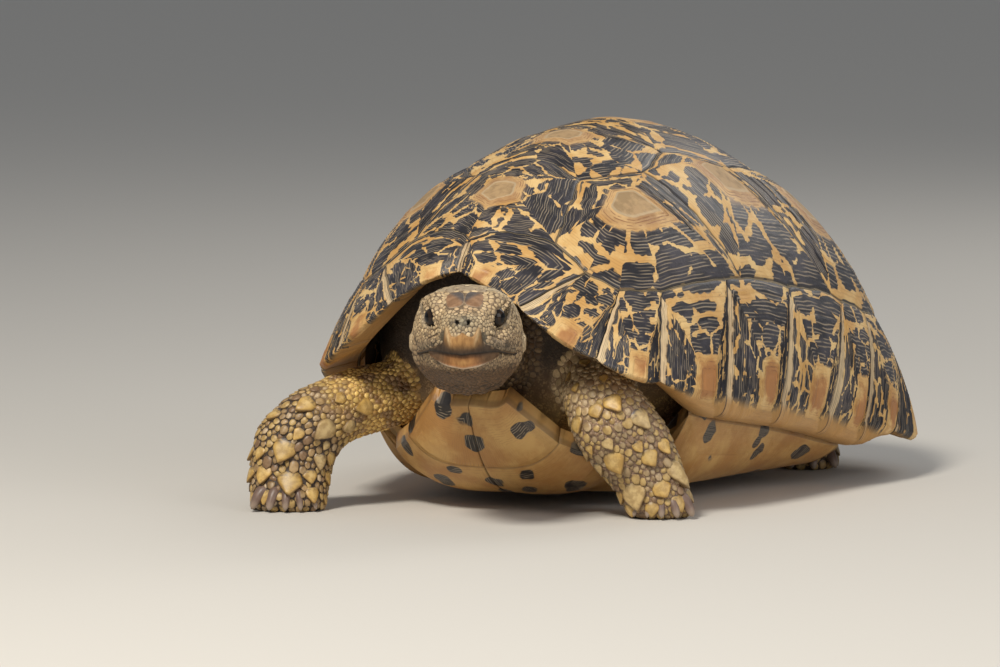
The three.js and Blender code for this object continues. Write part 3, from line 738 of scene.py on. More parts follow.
# ---- Plastron and bridge ----
# The lower shell is twelve flat plates in pairs. It curves up under the throat, and its middle pair
# rises at each side as the bridge to the rim. It is worn smoother than the upper shell.
PLASTRON_FLOOR = 0.008
PLASTRON_THICK = 0.007
MIDDLE_GAP = 0.00008
BOW = {"start": -0.115, "reach": 0.062, "rise": 0.084}
BRIDGE = {"front": -0.084, "rear": 0.062}
AXILLA = (0.059, -0.104, 0.022)
GROIN = (0.062, 0.088, 0.020)


def keel_height(y):
    t = np.clip((BOW["start"] - y) / BOW["reach"], 0, 1)
    return PLASTRON_FLOOR + BOW["rise"] * (1 - np.sqrt(1 - t * t))


def bridge_edge(degrees):
    at = underside(np.array([math.radians(degrees)]), np.array([1.0]))[0]
    return (at[0] - 0.0006, at[1] - SHELL_SHIFT, at[2] - 0.0015)


PLASTRON = [  # name, stretch of the middle line, and points of the outer edge
    ("gular", (-0.172, -0.152), [(0.021, -0.171, 0.061), (0.043, -0.153, 0.039)]),
    ("humeral", (-0.152, -0.104), [(0.043, -0.153, 0.039), (0.059, -0.136, 0.030), AXILLA]),
    ("pectoral", (-0.104, BRIDGE["front"]), [AXILLA, (0.072, -0.098, 0.027), bridge_edge(58)]),
    ("abdominal", (BRIDGE["front"], BRIDGE["rear"]), [bridge_edge(d) for d in (58, 66, 75, 84, 92, 99, 106)]),
    ("femoral", (BRIDGE["rear"], 0.112), [
        bridge_edge(106), (0.088, 0.074, 0.021), GROIN, (0.056, 0.112, 0.019),
    ]),
    ("anal", (0.112, 0.138), [(0.056, 0.112, 0.019), (0.048, 0.132, 0.020), (0.030, 0.150, 0.022)]),
]


def plate_place(middle, edge, side):
    """Places a plastron plate's (out, rearward) points: out is 0 on the middle line and 1 at its edge."""
    edge = np.array(edge)
    rows = np.linspace(0, 1, len(edge))

    def place(points, lift):
        out, along = points[:, 0], points[:, 1]
        edge_x, edge_y, edge_z = (np.interp(along, rows, edge[:, k]) for k in range(3))
        middle_y = middle[0] + (middle[1] - middle[0]) * along
        y = middle_y + (edge_y - middle_y) * out**2
        keel = keel_height(y)
        power = 4 + 4 * smoothstep(y, -0.100, BRIDGE["front"]) * (1 - smoothstep(y, BRIDGE["rear"], 0.090))
        z = keel + (edge_z - keel) * out**power
        lean = np.clip((BOW["start"] - middle_y) / BOW["reach"], 0, 1) ** 2
        thick = np.where(lift < -0.002, PLASTRON_THICK / WALL_DEPTH, 1.0)
        y = y - lift * thick * lean
        return stacked(np.maximum(edge_x * out, MIDDLE_GAP) * side, y + SHELL_SHIFT, z - lift * thick)

    return place


plastron_horn = horn_material(
    "plastron_horn", ground=(0.44, 0.215, 0.058), pale=(0.60, 0.36, 0.12), dark=(0.014, 0.010, 0.008),
    areola_colour=(0.40, 0.22, 0.08), amount=0.40, gloss=0.40, spotted=1.0,
)
plate_corners = [np.array(c, float) for c in ((0, 0), (1, 0), (1, 1), (0, 1))]
for word, side in SIDES:
    for i, (name, middle, edge) in enumerate(PLASTRON):
        length = max(0.020, float(np.abs(np.diff(middle))[0]))
        reach = max(point[0] for point in edge)
        centre = np.array([0.90, 0.84 if i < 3 else 0.16])
        outline, sides = stepped(plate_corners, np.array([reach, length]))
        outline = centre + (outline - centre) * 0.998
        seed = 211 + i + (20 if side < 0 else 0)
        horn_plate(
            f"{name}_{word}", outline, sides, centre, plate_place(middle, edge, side),
            0.75 * reach, plastron_horn, "plastron", seed, warmth=0.0, relief=0.4,
        )

# ---- Skin ----
# Head, neck, limbs, tail and the soft parts in the openings of the shell wear one skin. It is remeshed
# from the flesh as one closed surface, made finer towards the face, and then shaped like clay.
LIMBS = {  # way it faces in degrees; stations outwards: centre, half width and half depth, mm
    "leg_front_right": (20, [
        (-42, -104, 62, 15, 15), (-69, -142, 57, 18, 16), (-88, -164, 49, 19, 17), (-100, -172, 34, 23.5, 15),
        (-102, -175, 16, 22, 15), (-101, -177, 4, 21.5, 16), (-101, -177, 0, 19, 13.5),
    ]),
    "leg_front_left": (28, [
        (42, -104, 72, 14, 15), (57, -136, 69, 18, 16), (66, -146, 56, 22, 16), (77, -139, 38, 23, 15),
        (86, -129, 16, 19, 14), (88, -126, 4, 18.5, 15), (88, -126, 0, 16, 12.5),
    ]),
    "leg_hind_right": (-14, [
        (-44, 76, 62, 17, 18), (-62, 94, 52, 19, 20), (-75, 104, 34, 18.5, 19),
        (-80, 107, 14, 18, 18), (-81, 107, 4, 18.5, 18.5), (-81, 107, 0, 16, 16),
    ]),
    "leg_hind_left": (14, [
        (40, 80, 62, 17, 18), (52, 104, 52, 19, 20), (61, 122, 34, 18.5, 19),
        (66, 128, 14, 18, 18), (67, 128, 4, 18.5, 18.5), (67, 128, 0, 16, 16),
    ]),
    "tail": (180, [(0, 132, 50, 14, 13), (0, 158, 38, 12, 11), (2, 176, 22, 7, 6.5), (4, 184, 10, 2.5, 2.5)]),
    "neck": (0, [
        (-3, -128, 84, 24, 24), (0, -158, 88, 23, 23), (4.5, -180, 92, 21, 22), (10, -193, 94, 22, 24),
    ]),
}
HEAD_YAW = math.radians(22)
HEAD_PLACE = np.array([0.0167, -0.207 + SHELL_SHIFT, 0.096])
HEAD_WIDEST = 48.0
LEGS = ["leg_front_right", "leg_front_left", "leg_hind_right", "leg_hind_left"]
FLESH = ["head", "jaw", "neck", "trunk", "tail", *LEGS]
VOXEL = 0.0038


def in_head(points):
    """Places in the head in mm: left of its middle, back from the tip of the beak, and up."""
    away = (points - HEAD_PLACE) * 1000
    cosine, sine = math.cos(HEAD_YAW), math.sin(HEAD_YAW)
    left = away[:, 0] * cosine + away[:, 1] * sine
    back = -away[:, 0] * sine + away[:, 1] * cosine + HEAD_WIDEST
    return left, back, away[:, 2]


def from_head(left, back, up):
    """The place in the frame of a (left, back, up) in the head."""
    cosine, sine = math.cos(HEAD_YAW), math.sin(HEAD_YAW)
    y = back - HEAD_WIDEST
    return stacked(left * cosine - y * sine, left * sine + y * cosine, up) / 1000 + HEAD_PLACE


def limb_axis(name, steps=40):
    """Points along the middle of a limb, their tangents, half sizes, and the way the limb faces."""
    facing, stations = LIMBS[name]
    rows = np.array(stations, float) / 1000
    rows[:, 1] += SHELL_SHIFT
    padded = np.vstack([2 * rows[0] - rows[1], rows, 2 * rows[-1] - rows[-2]])
    at = np.linspace(0, len(rows) - 1.0001, steps)
    i, t = np.floor(at).astype(int), (at % 1)[:, None]
    path = curve_through(*(padded[i + k] for k in range(4)), t)
    tangent = unit(np.gradient(path[:, :3], axis=0))
    front = np.array([math.sin(math.radians(facing)), -math.cos(math.radians(facing)), 0])
    if name == "neck":
        front = np.array([0.0, 0.0, 1.0])
    width = unit(np.cross(tangent, front))
    return path[:, :3], tangent, path[:, 3:], width, np.cross(width, tangent)


def on_limb(name, points):
    """How far each point is down a limb (0 to 1), its turn from the front in degrees, and its distance
    from the middle in radii."""
    centre, tangent, half, width, depth = limb_axis(name)
    best = np.full(len(points), 9.0)
    along = np.zeros(len(points))
    turn = np.zeros(len(points))
    for k in range(len(centre)):
        away = points - centre[k]
        side, fore = away @ width[k], away @ depth[k]
        slip = away @ tangent[k]
        reach = np.sqrt((side / half[k, 0]) ** 2 + (fore / half[k, 1]) ** 2 + (slip / half[k].mean()) ** 2)
        closer = reach < best
        best[closer] = reach[closer]
        along[closer] = k / (len(centre) - 1)
        turn[closer] = np.degrees(np.arctan2(side[closer], fore[closer]))
    return along, turn, best


def relax(points, edges, share, times, weights=1.0):
    """Draws each point towards the mean of its neighbours."""
    count = np.bincount(edges.ravel(), minlength=len(points))[:, None]
    weights = np.broadcast_to(np.asarray(weights, float), (len(points),))[:, None]
    for _ in range(times):
        total = np.zeros_like(points)
        for axis in range(3):
            total[:, axis] = np.bincount(edges[:, 0], points[edges[:, 1], axis], len(points))
            total[:, axis] += np.bincount(edges[:, 1], points[edges[:, 0], axis], len(points))
        points = points + (total / count - points) * share * weights
    return points


def mesh_edges(mesh):
    return read(mesh.edges, "vertices", 2, np.int32)


def refine(mesh, wanted):
    """Splits the edges whose two ends are both wanted, and smooths what it splits."""
    bm = bmesh.new()
    bm.from_mesh(mesh)
    chosen = wanted(mesh_points(mesh))
    edges = [e for e in bm.edges if chosen[e.verts[0].index] and chosen[e.verts[1].index]]
    bmesh.ops.subdivide_edges(bm, edges=edges, cuts=1, use_grid_fill=True)
    bm.to_mesh(mesh)
    bm.free()
    points = mesh_points(mesh)
    set_points(mesh, relax(points, mesh_edges(mesh), 0.5, 3, wanted(points)))


flesh = bmesh.new()
for node in FLESH:
    flesh.from_mesh(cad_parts[node].data)
bmesh.ops.remove_doubles(flesh, verts=flesh.verts, dist=1e-5)
flesh_object = bpy.data.objects.new("flesh", mesh_of(flesh, "flesh"))
bpy.context.scene.collection.objects.link(flesh_object)
remesh = flesh_object.modifiers.new("remesh", "REMESH")
remesh.mode = "VOXEL"
remesh.voxel_size = VOXEL
remeshed = flesh_object.evaluated_get(bpy.context.evaluated_depsgraph_get())
skin_mesh = bpy.data.meshes.new_from_object(remeshed)
bpy.data.objects.remove(flesh_object)


def outer_parts(points):
    """True where the skin shows: head, neck, limbs, tail and the edges of the openings."""
    left, back, up = in_head(points)
    shows = (back > -8) & (back < 85) & (np.hypot(left, up) < 42)
    for name in LIMBS:
        shows |= on_limb(name, points)[2] < 1.3
    return shows


def head_only(points):
    left, back, up = in_head(points)
    return (back > -8) & (back < 76) & (np.abs(left) < 33) & (up > -34) & (up < 36)


def face_only(points):
    left, back, up = in_head(points)
    return (back > -8) & (back < 40) & (np.abs(left) < 33) & (up > -25)


points = mesh_points(skin_mesh)
sole = points[:, 2] < 0.003
points = relax(points, mesh_edges(skin_mesh), 0.5, 5, ~sole)
points = relax(points, mesh_edges(skin_mesh), 0.5, 14, ~outer_parts(points))
set_points(skin_mesh, points)
refine(skin_mesh, outer_parts)
refine(skin_mesh, head_only)
refine(skin_mesh, face_only)


def hill(first, second, first_width, second_width):
    """A smooth hill, 1 at its top, from two distances."""
    return np.exp(-((first / first_width) ** 2) - (second / second_width) ** 2)


EYE_AT = (21.8, 15.2)  # back and up, mm: the middle of the upper lid
EYE_SLOPE = math.radians(41)  # the opening rises towards the back
EYE_HALF = (8.6, 0.7, 3.7)  # along, above and below, mm
MOUTH_UP = -2.3
NOSTRIL = (2.9, 13.0)
EAR_AT, EAR_HALF = (45.5, -1.0), (4.6, 5.2)  # back and up, mm
CREASE_AT, CREASE_WAY = (13.5, 6.3), (0.87, -0.50)  # a fold out and down beside the beak


def eye_measures(back, up):
    """Along and across the eye's opening, and how far inside it each point is, in mm."""
    along = (back - EYE_AT[0]) * math.cos(EYE_SLOPE) + (up - EYE_AT[1]) * math.sin(EYE_SLOPE)
    across = -(back - EYE_AT[0]) * math.sin(EYE_SLOPE) + (up - EYE_AT[1]) * math.cos(EYE_SLOPE)
    run = along / EYE_HALF[0]
    lower = EYE_HALF[2] * (1 - 0.55 * np.clip(run, -1, 1))
    lid = np.where(across > 0, EYE_HALF[1], lower) * (1 - run**2)
    return along, across, np.maximum(lid, -3) - np.abs(across)


def mouth_height(side):
    """Height of the mouth line: a small point under the beak, and ends that drop."""
    ends = 0.3 * smoothstep(side, 6, 14) - 3.4 * smoothstep(side, 15, 26)
    return MOUTH_UP - 0.5 * peak(side, 2.2) + ends


def ear_reach(back, up):
    """Distance from the middle of the ear's disc: 1 at its edge."""
    return np.hypot((back - EAR_AT[0]) / EAR_HALF[0], (up - EAR_AT[1]) / EAR_HALF[1])


def nostril_reach(side, up):
    """Distance from the middle of the nostril, in mm."""
    return np.hypot(side - NOSTRIL[0], (up - NOSTRIL[1]) * 0.9)


def crease_measures(side, up):
    """Distances in mm along the crease of the cheek and across it."""
    out, high = side - CREASE_AT[0], up - CREASE_AT[1]
    return out * CREASE_WAY[0] + high * CREASE_WAY[1], high * CREASE_WAY[0] - out * CREASE_WAY[1]


def facing_front(normals):
    """1 where the surface of the head faces forwards."""
    return smoothstep(normals[:, 0] * math.sin(HEAD_YAW) - normals[:, 1] * math.cos(HEAD_YAW), 0.1, 0.45)


def skull_form(points, normals):
    """The broad forms of the head, in mm against its plain form: cheeks, brows, snout and lips."""
    left, back, up = in_head(points)
    side = np.abs(left)
    fore = facing_front(normals)
    along, across, _ = eye_measures(back, up)
    at_eye = smoothstep(side, 11, 14) * (back < 40)
    form = 0.8 + 1.3 * hill(back - 40, up + 4, 15, 16) * smoothstep(side, 12, 20)
    form += 1.6 * hill(back - 36, up + 20, 18, 8)
    form += 2.4 * hill(back - 50, up + 27, 18, 7)
    form += 4.0 * hill(back - 28.5, up - 20.0, 7.5, 5.0) * smoothstep(side, 8, 14)
    form -= 2.4 * hill(back - 13.5, up - 9.0, 5.5, 6.0) * smoothstep(side, 8, 13)
    form += -0.9 * hill(along, across + 1.5, 11, 8) * at_eye
    form += 2.5 * hill(along + 0.5, across - 3.0, 8.5, 2.2) * smoothstep(side, 9.5, 13) * (back < 40)
    form += 0.8 * hill(along + 1, across + 6.4, 7, 2.0) * at_eye
    form += 1.2 * hill(side - 6, up + 9.0, 9, 3.6) * fore
    form += 1.0 * hill(side, up - 4.5, 6.0, 6.5) * fore
    form += 0.9 * hill(side, up - 13.2, 7.5, 4.5) * fore
    form -= 1.1 * hill(side - 10.8, up - 4.0, 2.4, 5.5) * fore
    form += 0.6 * hill(side - 17, up - 0.5, 5, 3.0) * fore
    form += 1.2 * hill(back - 40, up + 8, 7, 7) * (side > 15)
    return form


def face_form(points, normals):
    """The fine forms of the head, in mm: lids, eye openings, mouth, nostrils, creases and ears."""
    left, back, up = in_head(points)
    side = np.abs(left)
    fore = facing_front(normals)
    along, across, inside = eye_measures(back, up)
    at_eye = smoothstep(side, 10, 12) * (back < 40)
    form = np.zeros(len(points))
    lid = peak(inside + 0.85, 0.65) * (np.abs(along) < EYE_HALF[0] + 1.5)
    form += 0.75 * lid * at_eye
    form -= 0.35 * peak(inside + 2.3, 0.5) * (np.abs(along) < EYE_HALF[0] + 2) * at_eye
    form -= 5.2 * smoothstep(inside, -0.1, 0.9) * at_eye

    below_mouth = mouth_height(side) - up
    in_mouth = (back < 36) * smoothstep(-back, -36, -31)
    form -= 1.9 * peak(below_mouth, 0.6) * in_mouth
    form -= 1.1 * smoothstep(below_mouth, 0.1, 0.9) * (1 - smoothstep(below_mouth, 5, 12)) * in_mouth
    nostril = nostril_reach(side, up)
    form -= 2.2 * (1 - smoothstep(nostril, 0.55, 1.15)) * fore
    form += 0.35 * peak(nostril - 1.7, 0.5) * fore

    crease, off_crease = crease_measures(side, up)
    fold = smoothstep(crease, -1.5, 0.5) * (1 - smoothstep(crease, 5.5, 8)) * fore
    form -= peak(off_crease, 0.6) * fold
    form += 0.9 * hill(crease - 3, off_crease + 2.2, 4.5, 1.6) * fore
    for drop, deep in ((3.4, 0.35), (5.6, 0.3)):
        below_lid = across + EYE_HALF[2] + drop - 0.03 * along**2
        form -= deep * peak(below_lid, 0.55) * at_eye * (along < 6)

    ear = ear_reach(back, up)
    form += 1.5 * (1 - smoothstep(ear, 0.6, 1.1)) * (side > 15)
    form -= 1.1 * peak(ear - 1.3, 0.16) * (side > 15) * (back < 45)
    throat = smoothstep(-up, 17, 23) * smoothstep(back, 12, 24)
    form += 0.55 * np.sin(back * 0.95 + 0.7 * np.sin(left * 0.3) + 0.2 * side) * throat
    form += 0.4 * np.sin(left * 0.8 + back * 0.15) * throat
    return form


def body_form(points):
    """Folds of loose skin on the neck and where the limbs leave the shell, in mm."""
    form = np.zeros(len(points))
    along, turn, reach = on_limb("neck", points)
    near = 1 - smoothstep(reach, 1.15, 1.5)
    bend = along * 34 + 1.2 * np.sin(np.radians(turn) * 2 + 0.6) + 0.7 * np.sin(np.radians(turn) * 5)
    form += (1.1 * np.sin(bend) + 0.5 * np.sin(bend * 2.3 + 1)) * near * (1 - smoothstep(along, 0.75, 1.0))
    for name in LEGS:
        along, turn, reach = on_limb(name, points)
        near = 1 - smoothstep(reach, 1.2, 1.7)
        root = 1 - smoothstep(along, 0.12, 0.30)
        form += 1.4 * np.sin(np.radians(turn) * 6 + along * 18) * near * root
        knee = peak(along - 0.42, 0.07) * (np.abs(turn) > 110)
        form -= 1.2 * np.abs(np.sin(along * 60)) * knee * near
        toes = smoothstep(along, 0.80, 0.9) * (np.abs(turn) < 75)
        form += 0.9 * np.cos(np.radians(turn) * 360 / 27.5) * toes * near
    return form


points = mesh_points(skin_mesh)
normals = vertex_normals(skin_mesh)
left, back, up = in_head(points)
head_share = smoothstep(-back, -72, -62) * (np.abs(left) < 36) * (np.abs(up) < 38)
points = points + normals * (skull_form(points, normals) * head_share / 1000)[:, None]
skin_faces = [tuple(face.vertices) for face in skin_mesh.polygons]
skull_tree = BVHTree.FromPolygons([tuple(p) for p in points], skin_faces)
points = points + normals * (face_form(points, normals) * head_share / 1000)[:, None]
points = points + normals * (body_form(points) * (1 - head_share) / 1000)[:, None]
points = relax(points, mesh_edges(skin_mesh), 0.35, 1)
points[:, 2] = np.maximum(points[:, 2], 0)
set_points(skin_mesh, points)

PART_NAMES = [*LEGS, "tail", "neck", "head", "trunk"]
FRONT_RIGHT, NECK, HEAD, TRUNK = (PART_NAMES.index(name) for name in (LEGS[0], "neck", "head", "trunk"))


def body_part(points):
    """Which part each point is on, how far along it (0 to 1) and its turn round it in degrees."""
    left, back, up = in_head(points)
    part = np.full(len(points), TRUNK)
    along = np.clip((points[:, 1] + 0.25) / 0.5, 0, 1)
    turn = np.degrees(np.arctan2(points[:, 0], points[:, 2] - 0.08))
    best = np.full(len(points), 1.28)
    for index, name in enumerate(PART_NAMES[:HEAD]):
        down, round_it, reach = on_limb(name, points)
        closer = reach < best
        best[closer] = reach[closer]
        part[closer] = index
        along[closer] = down[closer]
        turn[closer] = round_it[closer]
    on_head = (back < 68) & (np.hypot(left, up + 2) < 36)
    part[on_head] = HEAD
    along[on_head] = np.clip(back[on_head] / 72, 0, 1)
    turn[on_head] = np.degrees(np.arctan2(left[on_head], up[on_head]))
    return part, along, turn


def mixed(first, second, share):
    """Colours between two, by a share for each point or one share for all."""
    share = np.atleast_1d(np.asarray(share, float))[:, None]
    return np.asarray(first, float) * (1 - share) + np.asarray(second, float) * share


def painted(colour, *layers):
    """A colour with tints laid over it in turn; each tint comes with its share for each point."""
    for tint, share in layers:
        colour = mixed(colour, tint, share)
    return colour


def hide_colours(points, part, along):
    """The colour of the bare skin and of the scales at each point, with painted shade and painted light in
    places.
    """
    left, back, up = in_head(points)
    skin = np.tile((0.30, 0.19, 0.09), (len(points), 1))
    scale = np.tile((0.44, 0.29, 0.12), (len(points), 1))
    fore_yellow = (points[:, 1] < -0.06) * (1 - smoothstep(points[:, 2], 0.045, 0.066))
    skin = mixed(skin, (0.56, 0.385, 0.15), fore_yellow)
    # Painted shade: skin and scales high on the trunk, in the openings of the shell, are darkened towards
    # black.
    deep = smoothstep(points[:, 2], 0.058, 0.085)
    skin = mixed(skin, (0.06, 0.04, 0.025), deep)
    scale = mixed(scale, (0.10, 0.065, 0.035), deep)
    hind = ((0.10, 0.068, 0.042), (0.40, 0.27, 0.12), (0.26, 0.16, 0.07), (0.44, 0.30, 0.13))
    for name, (skin_low, low, skin_high, high) in {
        # The bare skin low on the right foreleg is near black: its own dark skin with painted shade between
        # the shields.
        "leg_front_right": (
            (0.065, 0.042, 0.028), (0.34, 0.225, 0.105), (0.50, 0.31, 0.105), (0.76, 0.52, 0.17),
        ),
        # The upper left foreleg is painted lighter than its own greyish tan: painted light, as if sunlit up
        # to the edge of the shell.
        "leg_front_left": ((0.30, 0.195, 0.125), (0.35, 0.25, 0.135), (0.46, 0.33, 0.20), (0.56, 0.42, 0.24)),
        "leg_hind_right": hind,
        "leg_hind_left": hind,
        "tail": ((0.14, 0.09, 0.05), (0.40, 0.28, 0.13), (0.22, 0.14, 0.07), (0.40, 0.28, 0.13)),
        # The neck is painted much darker than its own tan skin: painted shade in the opening of the shell,
        # behind the head.
        "neck": ((0.09, 0.058, 0.034), (0.16, 0.105, 0.052), (0.11, 0.07, 0.04), (0.19, 0.125, 0.062)),
    }.items():
        here = part == PART_NAMES.index(name)
        lower = smoothstep(along[here], 0.24, 0.40)
        skin[here] = mixed(skin_high, skin_low, lower)
        scale[here] = mixed(high, low, lower)
    waves = (((390, 160, 230), 0), ((-180, 410, 350), 2), ((460, -340, 440), 4))
    waver = sum(np.sin(points @ way + start) for way, start in waves)
    on_upper_leg = (part == FRONT_RIGHT) * (along > 0.04) * (1 - smoothstep(along, 0.3, 0.4))
    patch = smoothstep(waver, 0.6, 1.4) * on_upper_leg
    skin = mixed(skin, (0.20, 0.12, 0.075), 0.7 * patch)
    scale = mixed(scale, (0.30, 0.19, 0.125), 0.75 * patch)
    here = part == HEAD
    side, back, up = np.abs(left[here]), back[here], up[here]
    # under darkens the skin and scales beneath the head and on the throat: partly their own darker colour,
    # partly painted shade.
    under = smoothstep(-up, 6, 13)
    muzzle = 0.75 * smoothstep(-up, -10, 0) * (1 - under)
    crown = smoothstep(back, 26, 34) * smoothstep(up, 10, 20)
    nose = hill(side, up - 13.0, 8.5, 4.5) * (back < 16)
    bridge = hill(side, up - 19.5, 9.5, 2.4) * (back < 16)
    over_mouth = up - mouth_height(side)
    flank = (1 - smoothstep(over_mouth, 3.0, 8.0)) * (over_mouth > 0) * (back < 30)
    cheek = hill(side - 10.3, up - 5.0, 2.6, 4.5) * (back < 20)
    skin[here] = painted(
        (0.250, 0.178, 0.106), ((0.074, 0.042, 0.019), under), ((0.15, 0.100, 0.058), muzzle),
        ((0.13, 0.115, 0.08), 0.85 * nose), ((0.075, 0.058, 0.040), 0.8 * flank),
        ((0.115, 0.100, 0.062), 0.85 * cheek),
    )
    scale[here] = painted(
        (0.50, 0.375, 0.220), ((0.120, 0.066, 0.029), under), ((0.28, 0.190, 0.105), muzzle),
        ((0.42, 0.345, 0.235), 0.8 * crown), ((0.24, 0.215, 0.15), 0.85 * nose),
        ((0.54, 0.37, 0.22), 0.7 * bridge), ((0.17, 0.13, 0.085), 0.7 * flank),
    )
    return skin, scale


points = mesh_points(skin_mesh)
skin_part, skin_along, _ = body_part(points)
skin_hue, _ = hide_colours(points, skin_part, skin_along)
left, back, up = in_head(points)
side = np.abs(left)
on_face = skin_part == HEAD
beside_eye = (side > 11) * (back < 34) * on_face
_, eye_across, eye_inside = eye_measures(back, up)
open_rim = np.where(eye_across > 0, -1.1, -0.3)
in_nostril = (1 - smoothstep(nostril_reach(side, up), 0.9, 1.3)) * (back < 12) * on_face
ear_disc = (1 - smoothstep(ear_reach(back, up), 0.9, 1.25)) * (side > 15) * on_face
# Painted shade: the skin inside the eye openings and the nostrils is coloured near black.
HOLLOW_SHADE = (0.012, 0.009, 0.007)  # the dark inside of the eye openings and the nostrils
skin_hue = painted(
    skin_hue,
    ((0.56, 0.46, 0.31), 0.85 * peak(eye_inside + 0.9, 0.9) * (eye_across < 0) * beside_eye),
    (HOLLOW_SHADE, smoothstep(eye_inside, open_rim, 0.3) * beside_eye),
    (HOLLOW_SHADE, in_nostril),
    # A near-black line along the mouth: painted shade in the slit between the jaws.
    ((0.015, 0.011, 0.008), 0.9 * peak(mouth_height(side) - up, 0.8) * on_face * (back < 34)),
    # The pale ear disc: its own pale colour, lightened further as painted light against the shade on it.
    ((0.74, 0.58, 0.36), 0.9 * ear_disc),
)
set_attribute(skin_mesh, "hue", skin_hue)


def toned(base, share, dark, light):
    """A colour under one tint where the share is 0 and under the other where it is 1."""
    tints = [mix_colour(1.0, base, tint, "MULTIPLY") for tint in (dark, light)]
    return mix_colour(share, *tints)


skin_material, skin_tree, skin_shader = new_material("skin")
skin_place = given(skin_tree, "ShaderNodeTexCoord", "Object")
skin_base = attribute(skin_tree, "hue", "Vector")
pores = given(skin_tree, "ShaderNodeTexVoronoi", "Distance", {"Vector": skin_place, "Scale": 900.0})
mottle = step_between(noise(skin_place, 190.0, 5.0), 0.36, 0.64)
SKIN_DARK, SKIN_LIGHT = (0.60, 0.56, 0.52), (1.35, 1.33, 1.28)
skin_colour = toned(skin_base, mottle, SKIN_DARK, SKIN_LIGHT)
skin_colour = mix_colour(
    step_between(pores, 0.30, 0.65), skin_colour, mix_colour(1.0, skin_base, SKIN_DARK, "MULTIPLY"),
)
finish_shader(skin_shader, skin_colour, 0.62, pores, 0.6, 0.0005)
finish_piece("skin", skin_mesh, skin_material, "skin", *FLESH)

# ---- Scales ----
# Horny scales grow from the skin: grains on head and neck, small round ones on the upper limbs, and
# thick overlapping shields that point down on the forearms. Each is a small solid over the skin.
SHIELDS = {  # how far down the limb: (turn in degrees, half size in mm) of each large scale
    "leg_front_right": {
        0.22: [(-8, 5.6)], 0.28: [(-36, 4.4), (18, 3.8)], 0.365: [(33, 6.4), (-22, 6.6)],
        0.44: [(62, 4.4), (2, 3.6), (-64, 4.2)], 0.53: [(8, 7.0), (-44, 4.6)], 0.56: [(46, 4.0), (82, 4.0)],
        0.64: [(34, 5.4), (68, 4.6), (-34, 4.4), (-76, 4.0)], 0.685: [(-5, 7.6)],
        0.78: [(28, 4.4), (-40, 4.8), (64, 4.2)],
    },
    "leg_front_left": {
        0.12: [(46, 3.2), (-12, 3.0)], 0.17: [(66, 3.4), (18, 3.6), (-36, 3.4)],
        0.24: [(44, 3.2), (-10, 3.2)],
        0.33: [(55, 5.4), (13, 4.8), (-15, 5.8)], 0.42: [(-36, 6.2), (22, 3.8), (82, 3.6)],
        0.49: [(30, 6.8), (-8, 3.4), (66, 3.4)], 0.54: [(-14, 5.4), (-44, 4.6)],
        0.62: [(34, 7.6), (-46, 6.2), (72, 4.0)], 0.65: [(-10, 5.6)],
        0.74: [(14, 4.6), (-30, 4.6), (56, 4.4), (-68, 4.2)],
    },
    "leg_hind_right": {
        0.30: [(90, 4.2), (60, 3.4), (120, 3.6)], 0.48: [(60, 3.6), (95, 3.8), (130, 3.6)],
        0.66: [(-40, 3.8), (0, 4.0), (40, 4.2), (80, 4.0), (120, 4.2), (160, 4.6)],
        0.76: [(-20, 3.6), (22, 3.8), (62, 3.8), (100, 4.0), (140, 4.4), (180, 4.6)],
    },
}
SHIELDS["leg_hind_left"] = {
    along: [(-turn, size) for turn, size in row] for along, row in SHIELDS["leg_hind_right"].items()
}
HEAD_SHIELDS = [  # side and back in the head, half width and half length, mm
    (4.95, 18.6, 4.85, 8.4), (0.0, 31.6, 4.6, 4.0), (7.6, 31.0, 2.7, 3.6), (4.1, 38.8, 3.4, 3.0),
]
CANDIDATES = 190000
SOLE = 0.0016

skin_surface = BVHTree.FromPolygons([tuple(p) for p in mesh_points(skin_mesh)], skin_faces)


def upper_beak_edge(side):
    """The upper rim of the upper beak: a point between the nostrils, a horn each side, then low flanks."""
    front = 8.8 - 2.4 * np.sin(np.clip(side / 8.2, 0, 1) * math.pi) + 3.4 * smoothstep(side, 5.4, 8.2)
    flank = mouth_height(side) + 4.2 - 3.0 * smoothstep(side, 10.5, 18)
    return front + (flank - front) * smoothstep(side, 8.4, 10.2)


def lower_beak_edge(side):
    """The lower rim of the lower beak."""
    return mouth_height(side) - 8.2 * np.sqrt(np.clip(1 - (side / 18.4) ** 2, 0, 1))


def sample_skin(count, rng):
    """Random points all over the skin, with their normals."""
    skin_mesh.calc_loop_triangles()
    corners = read(skin_mesh.loop_triangles, "vertices", 3, np.int32)
    a, b, c = mesh_points(skin_mesh)[corners].transpose(1, 0, 2)
    across = np.cross(b - a, c - a)
    area = np.linalg.norm(across, axis=1)
    middle = (a + b + c) / 3
    wanted = area * scale_size_at(middle, *body_part(middle)[:2])[1]
    chosen = rng.choice(len(area), count, p=wanted / wanted.sum())
    u, v = rng.random((2, count))
    over = u + v > 1
    u[over], v[over] = 1 - u[over], 1 - v[over]
    a, b, c = a[chosen], b[chosen], c[chosen]
    found = a + (b - a) * u[:, None] + (c - a) * v[:, None]
    return found, across[chosen] / np.maximum(area[chosen], 1e-12)[:, None]


